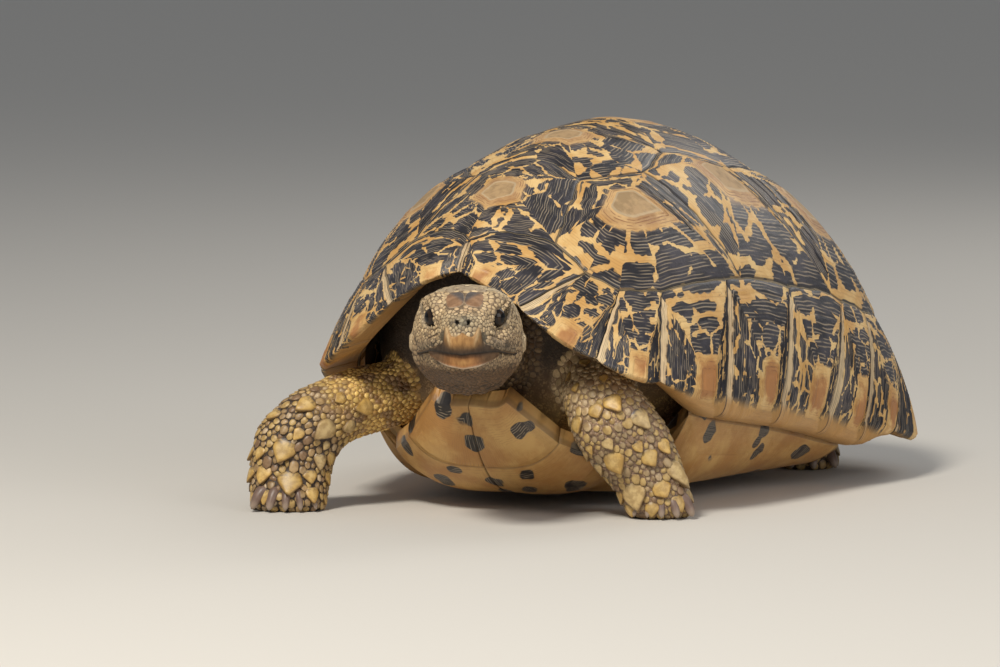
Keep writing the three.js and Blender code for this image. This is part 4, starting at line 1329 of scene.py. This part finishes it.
def scale_size_at(points, part, along):
    """Half size of the small scales in mm, and how thickly to try for them; 0 where none grow."""
    left, back, up = in_head(points)
    side = np.abs(left)
    size = np.full(len(points), 1.4)
    for name, (high, low) in {
        "leg_front_right": (1.15, 1.75), "leg_front_left": (1.6, 1.7), "leg_hind_right": (1.7, 2.2),
        "leg_hind_left": (1.7, 2.2), "tail": (1.6, 1.7), "neck": (1.2, 1.2),
    }.items():
        here = part == PART_NAMES.index(name)
        size[here] = high + (low - high) * smoothstep(along[here], 0.2, 0.4)
    on_head = part == HEAD
    crown = smoothstep(up, 12, 20) * smoothstep(back, 6, 14)
    cheek = smoothstep(back, 26, 42)
    grain = 0.84 + 0.24 * crown + 0.34 * cheek - 0.04 * smoothstep(-up, 8, 16)
    size = np.where(on_head, grain, size)
    _, across, inside = eye_measures(back, up)
    at_eye = on_head & (side > 11) & (back < 34)
    size = np.where(at_eye & (inside > -2.4), 0.70, size)

    face = on_head & (back < 34)
    mouth = mouth_height(side)
    crease, off_crease = crease_measures(side, up)
    trunk = part == TRUNK
    over_lower_edge = up > lower_beak_edge(side) + 0.3
    bare = {
        "shoulder": (part == FRONT_RIGHT) & (along < 0.10),
        "eye": at_eye & (inside > np.where(across > 0, -0.9, -0.5)),
        "beak": face & (up < upper_beak_edge(side) - 0.3) & over_lower_edge & (side < 25),
        "beside the beak": face & (back < 18) & (np.hypot((side - 10.2) / 2.2, (up - 5.6) / 3.6) < 1),
        "nostril": face & (back < 12) & (np.hypot(side - NOSTRIL[0], up - NOSTRIL[1]) < 2.15),
        "lip": face & (side > 16) & (up < mouth) & (up > mouth - 1.6),
        "crease": face & (back < 26) & (np.abs(off_crease) < 0.55) & (crease > -0.5) & (crease < 7),
        "ear": on_head & (side > 15) & (ear_reach(back, up) < 1.15),
        "in the shell": trunk & ((points[:, 2] > 0.118) | (np.abs(points[:, 1] + 0.01) < 0.11)),
        "sole": points[:, 2] < SOLE,
    }
    size = np.where(np.any(list(bare.values()), axis=0), 0, size)
    return size, (size > 0) / np.maximum(size, 0.5) ** 2


scale_rng = np.random.default_rng(7)
tried, tried_normals = sample_skin(CANDIDATES, scale_rng)
tried_part, tried_along, _ = body_part(tried)
tried_size = scale_size_at(tried, tried_part, tried_along)[0]
luck = scale_rng.uniform(0.78, 1.28, len(tried))
uneven = (tried_part < len(LEGS)) & (tried_along > 0.24)
large = scale_rng.random(len(tried)) < 0.035
luck = np.where(uneven, np.where(large, luck * 1.28, luck * 0.78), luck)
tried_size = tried_size * luck
order = np.argsort(-luck)

shield_points, shield_normals, shield_sizes, plate_halves = [], [], [], []
for limb, rows in SHIELDS.items():
    centre, _, half, width, depth = limb_axis(limb, 101)
    for along, row in rows.items():
        k = round(along * 100)
        for turn, size in row:
            out = width[k] * half[k, 0] * math.sin(math.radians(turn))
            out = out + depth[k] * half[k, 1] * math.cos(math.radians(turn))
            place, normal, _, _ = skin_surface.find_nearest(Vector(centre[k] + out))
            shield_points.append(place)
            shield_normals.append(normal)
            shield_sizes.append(size)
free = tried_size > 0
tried_left, tried_back, tried_up = in_head(tried)
for side, back, half_width, half_length in HEAD_SHIELDS:
    for left in sorted({side, -side}):
        above = Vector(from_head(left, back, 45))
        place, normal, _, _ = skin_surface.ray_cast(above, Vector((0, 0, -1)), 0.06)
        plate_halves.append((len(shield_points), half_width, half_length))
        shield_points.append(place)
        shield_normals.append(normal)
        shield_sizes.append(min(half_width, half_length))
        off_side = (tried_left - left) / (half_width + 0.5)
        off_back = (tried_back - back) / (half_length + 0.5)
        free &= (off_side**4 + off_back**4 > 1) | (tried_up < 8) | (tried_back > 60)

PACKING = 0.86  # how close two scales may grow, as a share of their half sizes


def point_tree(places):
    tree = KDTree(len(places))
    for index, place in enumerate(places):
        tree.insert(place, index)
    tree.balance()
    return tree


tried_tree = point_tree(tried)
biggest = tried_size.max()
for place, size in zip(shield_points[: plate_halves[0][0]], shield_sizes):
    for _, other, distance in tried_tree.find_range(place, (size + biggest) / 1000):
        if distance * 1000 < (size * 0.92 + tried_size[other]) * PACKING:
            free[other] = False
kept = []
for index in order:
    if not free[index]:
        continue
    kept.append(index)
    size = tried_size[index]
    for _, other, distance in tried_tree.find_range(tried[index], (size + biggest) * PACKING / 1000):
        if free[other] and distance * 1000 < (size + tried_size[other]) * PACKING:
            free[other] = False

roots = np.vstack([np.array(shield_points), tried[kept]])
root_normals = np.vstack([np.array(shield_normals), tried_normals[kept]])
root_sizes = np.concatenate([shield_sizes, tried_size[kept]])
root_part, root_along, root_turn = body_part(roots)
_, root_hue = hide_colours(roots, root_part, root_along)

lie = np.tile((0.0, 0.0, -1.0), (len(roots), 1))
for index, name in enumerate(PART_NAMES[:HEAD]):
    here = root_part == index
    centre, tangent, *_ = limb_axis(name)
    lie[here] = tangent[np.rint(root_along[here] * (len(centre) - 1)).astype(int)]
on_head = root_part == HEAD
lie[on_head] = from_head(0, 60, 0) - from_head(0, 0, 0)
lie = unit(lie - root_normals * np.sum(lie * root_normals, axis=1, keepdims=True))
beside = np.cross(root_normals, lie)


def scale_template(around, rows):
    """A flat round scale: its faces, and the row and the turn of each vertex. The last row is tucked
    under the edge."""
    bm = spun_disc(rows, around)
    bmesh.ops.recalc_face_normals(bm, faces=bm.faces)
    bm.faces.ensure_lookup_table()
    if bm.faces[0].normal.z < 0:
        bmesh.ops.reverse_faces(bm, faces=bm.faces)
    flat = np.array([v.co for v in bm.verts])
    faces = [[v.index for v in face.verts] for face in bm.faces]
    bm.free()
    return faces, *rows_and_turns(flat, around)


def plate_reach(half_width, half_length, around):
    """The outline of a plate of the head: a long rounded rectangle, in metres from its middle."""
    length = np.abs(np.cos(angles_of(around))) / half_length
    width = np.abs(np.sin(angles_of(around))) / half_width
    return (length**3.2 + width**3.2) ** (-1 / 3.2) / 1000


def shield_reach(size, around, rng):
    """The outline of a shield: round at its root and drawn to a blunt point, in metres."""
    turns = np.radians((52, -52, 100, -100, 142, -142, 180)) + rng.normal(0, 0.12, 7)
    away = np.array((0.80, 0.80, 0.86, 0.86, 0.92, 0.92, 0.92)) * rng.uniform(0.90, 1.08, 7)
    cuts = np.clip(np.cos(angles_of(around)[:, None] - turns[None, :]), 0, 1) / away[None, :]
    return (cuts**14).sum(axis=1) ** (-1 / 14) * size / 1000


FREE_REACH = 1.7  # how many half sizes a scale grows where nothing stops it


def cell_reach(index, around):
    """How far a scale reaches each way before it meets its neighbours, in metres."""
    size = root_sizes[index]
    reach = np.full(around, FREE_REACH * size / 1000)
    search = (size * 1.25 + 2.6) / 1000 * 1.15
    near = [j for _, j, _ in root_tree.find_range(roots[index], search) if j != index]
    if near:
        away = roots[near] - roots[index]
        x, y = away @ lie[index], away @ beside[index]
        edge = np.hypot(x, y) * size / (size + root_sizes[near])
        toward = np.cos(angles_of(around)[:, None] - np.arctan2(y, x)[None, :])
        met = np.where(toward > 0.12, edge[None, :] / np.maximum(toward, 0.12), 9)
        reach = np.minimum(reach, met.min(axis=1))
    return rounded_off(reach, around // 10)


root_tree = point_tree(roots)
KINDS = {  # sizes from, steps around, shares of the rows and their heights (the last two are the edge)
    "shield": (
        2.75, 30, (0, 0.22, 0.45, 0.66, 0.82, 0.92, 0.98, 1.0, 0.93),
        (1.0, 0.99, 0.95, 0.86, 0.70, 0.48, 0.22, 0.0, -0.5),
    ),
    "middle": (1.65, 10, (0, 0.5, 0.82, 1.0, 0.93), (1.0, 0.86, 0.50, 0.05, -0.35)),
    "grain": (0.0, 8, (0, 0.70, 1.0), (1.0, 0.90, -0.15)),
}
FOLLOWS_SKIN = 1.1  # only scales larger than this, in mm, bend with the skin under them
TUCK = 0.0002  # how deep the last row goes under, and how far all stay over the floor
TILE = 0.0015
plates = {index: (half_width, half_length) for index, half_width, half_length in plate_halves}


def scale_outline(index, kind, around):
    """How far a scale reaches each way in metres, then its tilt and its height in half sizes."""
    size = root_sizes[index]
    if index in plates:
        return plate_reach(*plates[index], around), 0.0, 0.09 if size > 3 else 0.16
    on_leg_or_tail = root_part[index] < NECK
    if kind == "shield" and on_leg_or_tail:
        return shield_reach(size * 1.06, around, scale_rng), 0.34, 0.26
    reach = cell_reach(index, around)
    if not on_leg_or_tail:
        return reach, 0.0, 0.17
    distal = np.clip(np.cos(angles_of(around)), 0, 1)
    return reach * (0.84 + 0.42 * distal**3), 0.26, 0.27


def laid_on_skin(points, normal, size):
    """The points of a scale put down on the skin, and the way up at each."""
    if size <= FOLLOWS_SKIN:
        return points, np.tile(normal, (len(points), 1))
    found = [skin_surface.find_nearest(point, 0.008)[:2] for point in points]
    upward = np.array([up for _, up in found]) * 0.5 + normal * 0.5
    return np.array([at for at, _ in found]), unit(upward)


def grow_scales(name, chosen, slot, material):
    """One piece with all the chosen scales as small solids that lie on the skin."""
    vertices, faces, hues, grows, corner_uvs = [], [], [], [], []
    total = 0
    upper_size = math.inf
    for kind, (from_size, around, shares, heights) in KINDS.items():
        group = [i for i in chosen if from_size <= root_sizes[i] < upper_size]
        upper_size = from_size
        template, rows, turns = scale_template(around, len(shares))
        share, rise = np.array(shares)[rows], np.array(heights)[rows]
        angle = turns / around * 2 * math.pi
        counts = [len(face) for face in template]
        flat_faces = np.concatenate(template)
        for index in group:
            size = root_sizes[index]
            reach, tilt, tall = scale_outline(index, kind, around)
            out = reach[turns] * share
            x, y = out * np.cos(angle), out * np.sin(angle)
            distal, across = x / (size / 1000), y / (size / 1000)
            base = roots[index] + x[:, None] * lie[index] + y[:, None] * beside[index]
            base, upward = laid_on_skin(base, root_normals[index], size)
            height = rise * tall * size / 1000
            height += tilt * size / 1000 * np.clip(distal, -1.0, 1.4) * (0.35 + 0.65 * share)
            height = np.where(rows == rows.max(), np.minimum(height, 0) - TUCK, height)
            placed = base + upward * height[:, None]
            placed[:, 2] = np.maximum(placed[:, 2], TUCK)
            vertices.append(placed)
            faces.append((flat_faces + total, counts))
            total += len(base)
            seed = scale_rng.random(3)
            grows.append(stacked(share, seed[0], size))
            hues.append(scale_hue(index, kind, seed, share, distal, across))
            tile_x = (root_part[index] % 4 + 0.04 + 0.92 * root_along[index]) / 4
            tile_y = (root_part[index] // 4 + 0.04 + 0.92 * ((root_turn[index] / 360) % 1)) / 2
            flat = stacked(share * np.cos(angle), share * np.sin(angle))
            corner_uvs.append((np.array([tile_x, tile_y]) + TILE * flat)[flat_faces])
    mesh = bpy.data.meshes.new(name)
    corners = np.concatenate([f for f, _ in faces])
    counts = np.concatenate([c for _, c in faces])
    starts = np.concatenate([[0], np.cumsum(counts)[:-1]])
    mesh.vertices.add(total)
    mesh.loops.add(len(corners))
    mesh.polygons.add(len(counts))
    mesh.loops.foreach_set("vertex_index", corners.astype(np.int32))
    mesh.polygons.foreach_set("loop_start", starts.astype(np.int32))
    set_points(mesh, np.concatenate(vertices))
    mesh.update(calc_edges=True)
    mesh.validate()
    set_attribute(mesh, "hue", np.concatenate(hues))
    set_attribute(mesh, "grow", np.concatenate(grows))
    layer = mesh.uv_layers.new(name="OFBake")
    layer.data.foreach_set("uv", np.concatenate(corner_uvs).astype(np.float32).ravel())
    finish_piece(name, mesh, material, slot)


def scale_hue(index, kind, seed, share, distal, across):
    """The colour of one scale over its vertices."""
    part = PART_NAMES[root_part[index]]
    colour = np.tile(root_hue[index] * (0.80 + 0.36 * seed[1]), (len(share), 1))
    if part in LEGS and kind == "shield":
        honey = np.array((0.53, 0.335, 0.095)) * (0.78 + 0.30 * seed[1])
        if part.startswith("leg_hind"):
            honey = honey * (0.80, 0.84, 1.05)
        stripe = smoothstep(np.sin(distal * 17), -0.3, 0.5) * smoothstep(-distal, 0.15, 0.45)
        colour = painted(
            honey,
            ((0.42, 0.34, 0.21), 0.5 * (seed[2] > 0.80)),
            # A paler middle on each shield: painted highlight on its top.
            ((0.68, 0.52, 0.26), 0.5 * np.clip(1 - share * 1.2, 0, 1)),
            ((0.24, 0.135, 0.05), 0.6 * smoothstep(share, 0.80, 1.0)),
            # Darker towards the root of each shield: painted shade under the shield above.
            ((0.17, 0.13, 0.085), 0.85 * smoothstep(-distal, 0.25, 0.85)),
            ((0.045, 0.043, 0.060), 0.9 * stripe * (seed[0] > 0.45)),
        )
    elif part in LEGS and root_along[index] > 0.24:
        colour = painted(
            colour,
            ((0.50, 0.38, 0.24), 0.8 * (seed[2] > 0.92)),
            ((0.20, 0.115, 0.065), 0.7 * (seed[2] < 0.12)),
            ((0.50, 0.34, 0.12), 0.7 * (0.12 < seed[2] < 0.45)),
        )
        # Darker towards the root of each scale: painted shade under the scale above.
        colour = mixed(colour, colour * (0.42, 0.38, 0.40), 0.8 * smoothstep(-distal, 0.15, 0.75))
    elif index in plates:
        left = in_head(roots[[index]])[0][0]
        half_width, half_length = plates[index]
        colour = np.tile((0.28, 0.160, 0.085), (len(share), 1))
        if half_length > 6:
            dark = smoothstep(np.sign(left) * across + 0.55 * distal, -0.1, 0.7)
            colour = mixed(colour, (0.095, 0.080, 0.075), dark)
        elif half_width < 2.5:
            colour = mixed(colour, (0.56, 0.40, 0.25), 0.8)
        else:
            colour = mixed(colour, (0.36, 0.30, 0.21), 0.75)
        colour = mixed(colour, (0.50, 0.38, 0.265), 0.85 * smoothstep(share, 0.92, 0.97))
    elif part == "head":
        colour = mixed(colour, colour * (1.20, 1.20, 1.18), 0.8 * (seed[2] > 0.6))
        colour = mixed(colour, colour * 0.35, 0.9 * (seed[2] < 0.07))
    else:
        colour = mixed(colour, colour * (0.55, 0.46, 0.40), seed[2] < 0.16)
    return colour


def scale_material(name, gloss, edge_share):
    """Horn of a scale: its own colour (on the shields with a painted highlight on top), mottled and darker at
    the rim, with fine growth lines.
    """
    material, tree, shader = new_material(name)
    place = given(tree, "ShaderNodeTexCoord", "Object")
    share, _, size = parts(attribute(tree, "grow", "Vector"))
    cloudy = noise(place, 300.0, 4.0, 0.6)
    colour = toned(
        attribute(tree, "hue", "Vector"), step_between(cloudy, 0.36, 0.62),
        (0.78, 0.72, 0.65), (1.12, 1.11, 1.08),
    )
    colour = mix_colour(step_between(share, 0.86, 1.0) * edge_share, colour, (0.06, 0.042, 0.03))
    ripple = math_node("SINE", share * size * 9.0)
    finish_shader(shader, colour, cloudy * 0.22 + (gloss - 0.11), ripple * 0.12 + cloudy, 0.25, 0.0003)
    return material


limb_scale = scale_material("limb_scale", 0.42, 0.42)
head_scale = scale_material("head_scale", 0.58, 0.32)
for index, name in enumerate(PART_NAMES):
    chosen = np.flatnonzero(root_part == index)
    head_like = name in ("head", "neck")
    slot = "head_skin" if name == "head" else "limb_scale"
    grow_scales(f"scales_{name}", chosen, slot, head_scale if head_like else limb_scale)

# ---- Beak ----
# Toothless jaws are sheathed in horn: brown-orange in front, dark on the flanks. Each sheath is a sheet
# laid over the jaw, with thickness, and the upper one closes over the lower.
beak_material, beak_tree, beak_shader = new_material("beak_horn")
streak_at = given(beak_tree, "ShaderNodeMapping", 0, {
    "Vector": given(beak_tree, "ShaderNodeTexCoord", "Object"),
    "Rotation": (0, 0, -HEAD_YAW), "Scale": (620, 420, 240),
})
streak = noise(streak_at, 1.0, 4.0)
beak_colour = toned(
    attribute(beak_tree, "hue", "Vector"), step_between(streak, 0.36, 0.64),
    (0.80, 0.74, 0.68), (1.14, 1.12, 1.08),
)
feed(beak_shader.inputs["Specular IOR Level"], 0.3)
finish_shader(beak_shader, beak_colour, 0.55, streak, 0.5, 0.0003)
SHEATH = 0.0010
BLACK_HORN = (0.050, 0.032, 0.019)
forward = unit(from_head(0, 0, 0) - from_head(0, 50, 0))
for name, half, columns, rows in (("beak_upper", 25.0, 120, 26), ("beak_lower", 18.0, 96, 22)):
    sheet = bmesh.new()
    bmesh.ops.create_grid(sheet, x_segments=columns, y_segments=rows, size=1)
    beak_mesh = mesh_of(sheet, name)
    grid = mesh_points(beak_mesh)
    left = np.sin(grid[:, 0] * math.pi / 2 * 0.98) * half
    side = np.abs(left)
    rise = (grid[:, 1] + 1) / 2
    if name == "beak_upper":
        low, high = mouth_height(side) - 0.25, upper_beak_edge(side)
    else:
        low, high = lower_beak_edge(side), mouth_height(side) - 0.15
    up = low + (high - low) * rise
    placed = []
    for x, z in zip(left, up):
        place, normal, _, _ = skull_tree.ray_cast(Vector(from_head(x, -30, z)), Vector(-forward), 0.1)
        placed.append((*place, *normal))
    placed = np.array(placed)
    beak_edges = mesh_edges(beak_mesh)
    border = (np.abs(grid[:, 0]) > 0.999) | (np.abs(grid[:, 1]) > 0.999)
    base = relax(placed[:, :3], beak_edges, 0.5, 3, ~border)
    normal = unit(relax(placed[:, 3:], beak_edges, 0.5, 6))
    end = smoothstep(np.abs(grid[:, 0]), 0.90, 1.0)
    centre = peak(left, 7.5)
    if name == "beak_upper":
        rim = smoothstep(rise, 0.86, 1.0)
        thick = 0.45 + 0.55 * centre + 0.35 * (1 - rise) * centre
        horn = side - 5.4 - 0.22 * up
        thick += 0.75 * peak(horn, 1.0) * smoothstep(rise, 0.1, 0.6)
        thick += 0.35 * peak(side, 1.0) * smoothstep(rise, 0.2, 0.8)
        worn = smoothstep(np.sin(left * 1.3 + 2 * rise) + np.sin(left * 2.9 - 5 * rise + 1), -0.2, 1.2)
        colour = painted(
            (0.36, 0.195, 0.070),
            ((0.055, 0.033, 0.019), 1 - smoothstep(rise, 0.12, 0.62)),
            ((0.52, 0.38, 0.21), 0.8 * peak(horn - 0.2, 0.9) * smoothstep(rise, 0.3, 0.7)),
            (BLACK_HORN, smoothstep(side, 7.6, 10.0) * (1 - 0.35 * smoothstep(side, 17, 24))),
            ((0.20, 0.135, 0.075), worn * smoothstep(rise, 0.35, 0.85) * smoothstep(side, 9.0, 12.0)),
            # The darkest band along the lower edge of the upper beak is painted shade at the mouth.
            ((0.030, 0.022, 0.016), 1 - smoothstep(rise * (high - low), 0.2, 1.2)),
            ((0.20, 0.15, 0.10), 0.6 * rim),
        )
    else:
        rim = 1 - smoothstep(rise, 0.0, 0.12)
        thick = -0.45 + 0.45 * centre + 0.55 * peak(rise - 0.10, 0.09)
        colour = painted(
            (0.25, 0.105, 0.035),
            ((0.14, 0.078, 0.038), smoothstep(side, 4, 13)),
            ((0.44, 0.25, 0.09), 0.6 * hill(rise - 0.45, left / 6, 0.25, 1)),
            ((0.66, 0.55, 0.42), peak(rise - 0.065, 0.06) * (1 - smoothstep(side, 8, 16))),
            # The dark top of the lower beak is painted shade under the upper beak.
            ((0.050, 0.030, 0.018), smoothstep(rise, 0.62, 1.0)),
        )
    thick = thick * (1 - 0.9 * rim) * (1 - end) - 0.35 * end - 0.35 * rim
    set_points(beak_mesh, base + normal * (thick / 1000)[:, None])
    set_attribute(beak_mesh, "hue", colour)
    beak = finish_piece(name, beak_mesh, beak_material, "beak")
    if vertex_normals(beak_mesh)[len(grid) // 2] @ forward < 0:
        beak_mesh.flip_normals()
    wall = beak.modifiers.new("wall", "SOLIDIFY")
    wall.thickness = SHEATH
    wall.offset = -1

# ---- Eyes ----
# Dark glossy eyeballs sit behind the lids, each with a brown iris round a wide black pupil. They are
# balls with a slightly bulging cornea, turned outwards and a little forwards.
EYE_RADIUS = 0.0058
EYE_SIDE = 14.8
IRIS_DEGREES = 50
eye_material, eye_tree, eye_shader = new_material("eye")
ring_at = attribute(eye_tree, "gaze")
eye_streaks = noise(given(eye_tree, "ShaderNodeTexCoord", "Object"), 900.0, 3.0)
PUPIL = (0.0015, 0.0012, 0.001)
iris = mix_colour(eye_streaks, (0.010, 0.006, 0.004), (0.040, 0.022, 0.011))
iris = mix_colour(step_between(ring_at, 0.50, 0.56), PUPIL, iris)
iris = mix_colour(step_between(ring_at, 0.80, 0.90), iris, (0.012, 0.008, 0.006))
for name, value in (
    ("Base Color", iris), ("Roughness", 0.16), ("Coat Weight", 0.05), ("Coat Roughness", 0.04), ("IOR", 1.34),
):
    feed(eye_shader.inputs[name], value)
for word, side in SIDES:
    ball = bmesh.new()
    bmesh.ops.create_uvsphere(ball, u_segments=48, v_segments=32, radius=EYE_RADIUS)
    eye_mesh = mesh_of(ball, "eye")
    eye_back, eye_up = EYE_AT[0] + 1.0, EYE_AT[1] - 1.3
    centre = from_head(EYE_SIDE * side, eye_back, eye_up)
    gaze = unit(from_head((EYE_SIDE + 8.6) * side, eye_back - 4.4, eye_up - 0.2) - centre)
    away = mesh_points(eye_mesh)
    toward = away @ gaze / EYE_RADIUS
    off_axis = np.degrees(np.arccos(np.clip(toward, -1, 1))) / IRIS_DEGREES
    set_attribute(eye_mesh, "gaze", off_axis)
    bulge = 1 + 0.035 * np.clip(1 - off_axis, 0, 1)
    set_points(eye_mesh, centre + away * bulge[:, None])
    finish_piece(f"eyeball_{word}", eye_mesh, eye_material, "eye", f"eye_{word}")

# ---- Claws ----
# Blunt digging claws of horn, five on each front foot and four on each hind foot, worn at their tips.
# Each is a ring drawn out of its toe in steps, bent down and narrowed to a rounded end.
CLAW = {"out": 0.0066, "radius": 0.0034, "drop": 0.0090, "arc": 104.0, "height": 0.0106, "sunk": 0.0035}
CLAW_SIZES = (1.12, 1.0, 0.84, 0.74, 0.66)  # from the outer toe inwards
CLAW_AROUND = 14
CLAW_STEPS = 9
CLAW_FLAT = 0.72  # the underside is flatter than the top
CLAW_CLEAR = 0.0002
claw_material, claw_tree, claw_shader = new_material("claw_horn")
claw_noise = noise(given(claw_tree, "ShaderNodeTexCoord", "Object"), 260.0, 4.0)
claw_colour = mix_colour(claw_noise, (0.085, 0.050, 0.038), (0.24, 0.155, 0.115))
worn_tip = step_between(attribute(claw_tree, "run"), 0.55, 1.0)
claw_colour = mix_colour(worn_tip, claw_colour, (0.36, 0.27, 0.20))
finish_shader(claw_shader, claw_colour, 0.42, claw_noise, 0.4, 0.0003)
TOES = {"leg_front_right": 5, "leg_front_left": 5, "leg_hind_right": 4, "leg_hind_left": 4}
for leg, toes in TOES.items():
    facing = math.radians(LIMBS[leg][0])
    foot_x, foot_y, _, half_width, half_depth = (v / 1000 for v in LIMBS[leg][1][-2])
    claws = bmesh.new()
    runs = []
    for toe in range(toes):
        grown = CLAW_SIZES[toe if leg.endswith("right") else toes - 1 - toe]
        spread = math.radians((toe - (toes - 1) / 2) / (toes - 1) * CLAW["arc"])
        out = Vector((math.sin(facing + spread), -math.cos(facing + spread), 0))
        across = Vector((-out.y, out.x, 0))
        reach = 1 / math.hypot(math.sin(spread) / half_width, math.cos(spread) / half_depth)
        base = Vector((foot_x, foot_y + SHELL_SHIFT, CLAW["height"])) + out * (reach - CLAW["sunk"])
        ring = bmesh.ops.create_circle(claws, segments=CLAW_AROUND, radius=1, cap_ends=False)["verts"]
        rows = [ring]
        for _ in range(CLAW_STEPS):
            last = set(rows[-1])
            edges = [e for e in claws.edges if last.issuperset(e.verts)]
            made = bmesh.ops.extrude_edge_only(claws, edges=edges)["geom"]
            rows.append([part for part in made if isinstance(part, bmesh.types.BMVert)])
        for step, row in enumerate(rows):
            along = step / CLAW_STEPS
            blunt = math.sqrt(max(1 - max(along - 0.8, 0) ** 2 / 0.045, 0.02))
            radius = CLAW["radius"] * grown * (1 - 0.55 * along**1.6) * blunt
            middle = base + out * CLAW["out"] * grown * along**0.8
            middle.z -= CLAW["drop"] * along**1.25
            lean = 0.45 + 0.75 * along
            upward = out * math.sin(lean) + Vector((0, 0, math.cos(lean)))
            for vert in row:
                turn = math.atan2(vert.co.y, vert.co.x)
                rise = math.sin(turn) * radius
                if rise < 0:
                    rise *= CLAW_FLAT
                vert.co = middle + across * math.cos(turn) * radius + upward * rise
                runs.append(along)
        last = set(rows[-1])
        tip = [e for e in claws.edges if e.is_boundary and last.issuperset(e.verts)]
        bmesh.ops.contextual_create(claws, geom=tip)
    bmesh.ops.recalc_face_normals(claws, faces=claws.faces)
    claw_mesh = mesh_of(claws, "claws")
    points = mesh_points(claw_mesh)
    points[:, 2] = np.maximum(points[:, 2], CLAW_CLEAR)
    set_points(claw_mesh, points)
    set_attribute(claw_mesh, "run", np.array(runs))
    finish_piece("claws" + leg[3:], claw_mesh, claw_material, "claw")

low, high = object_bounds()
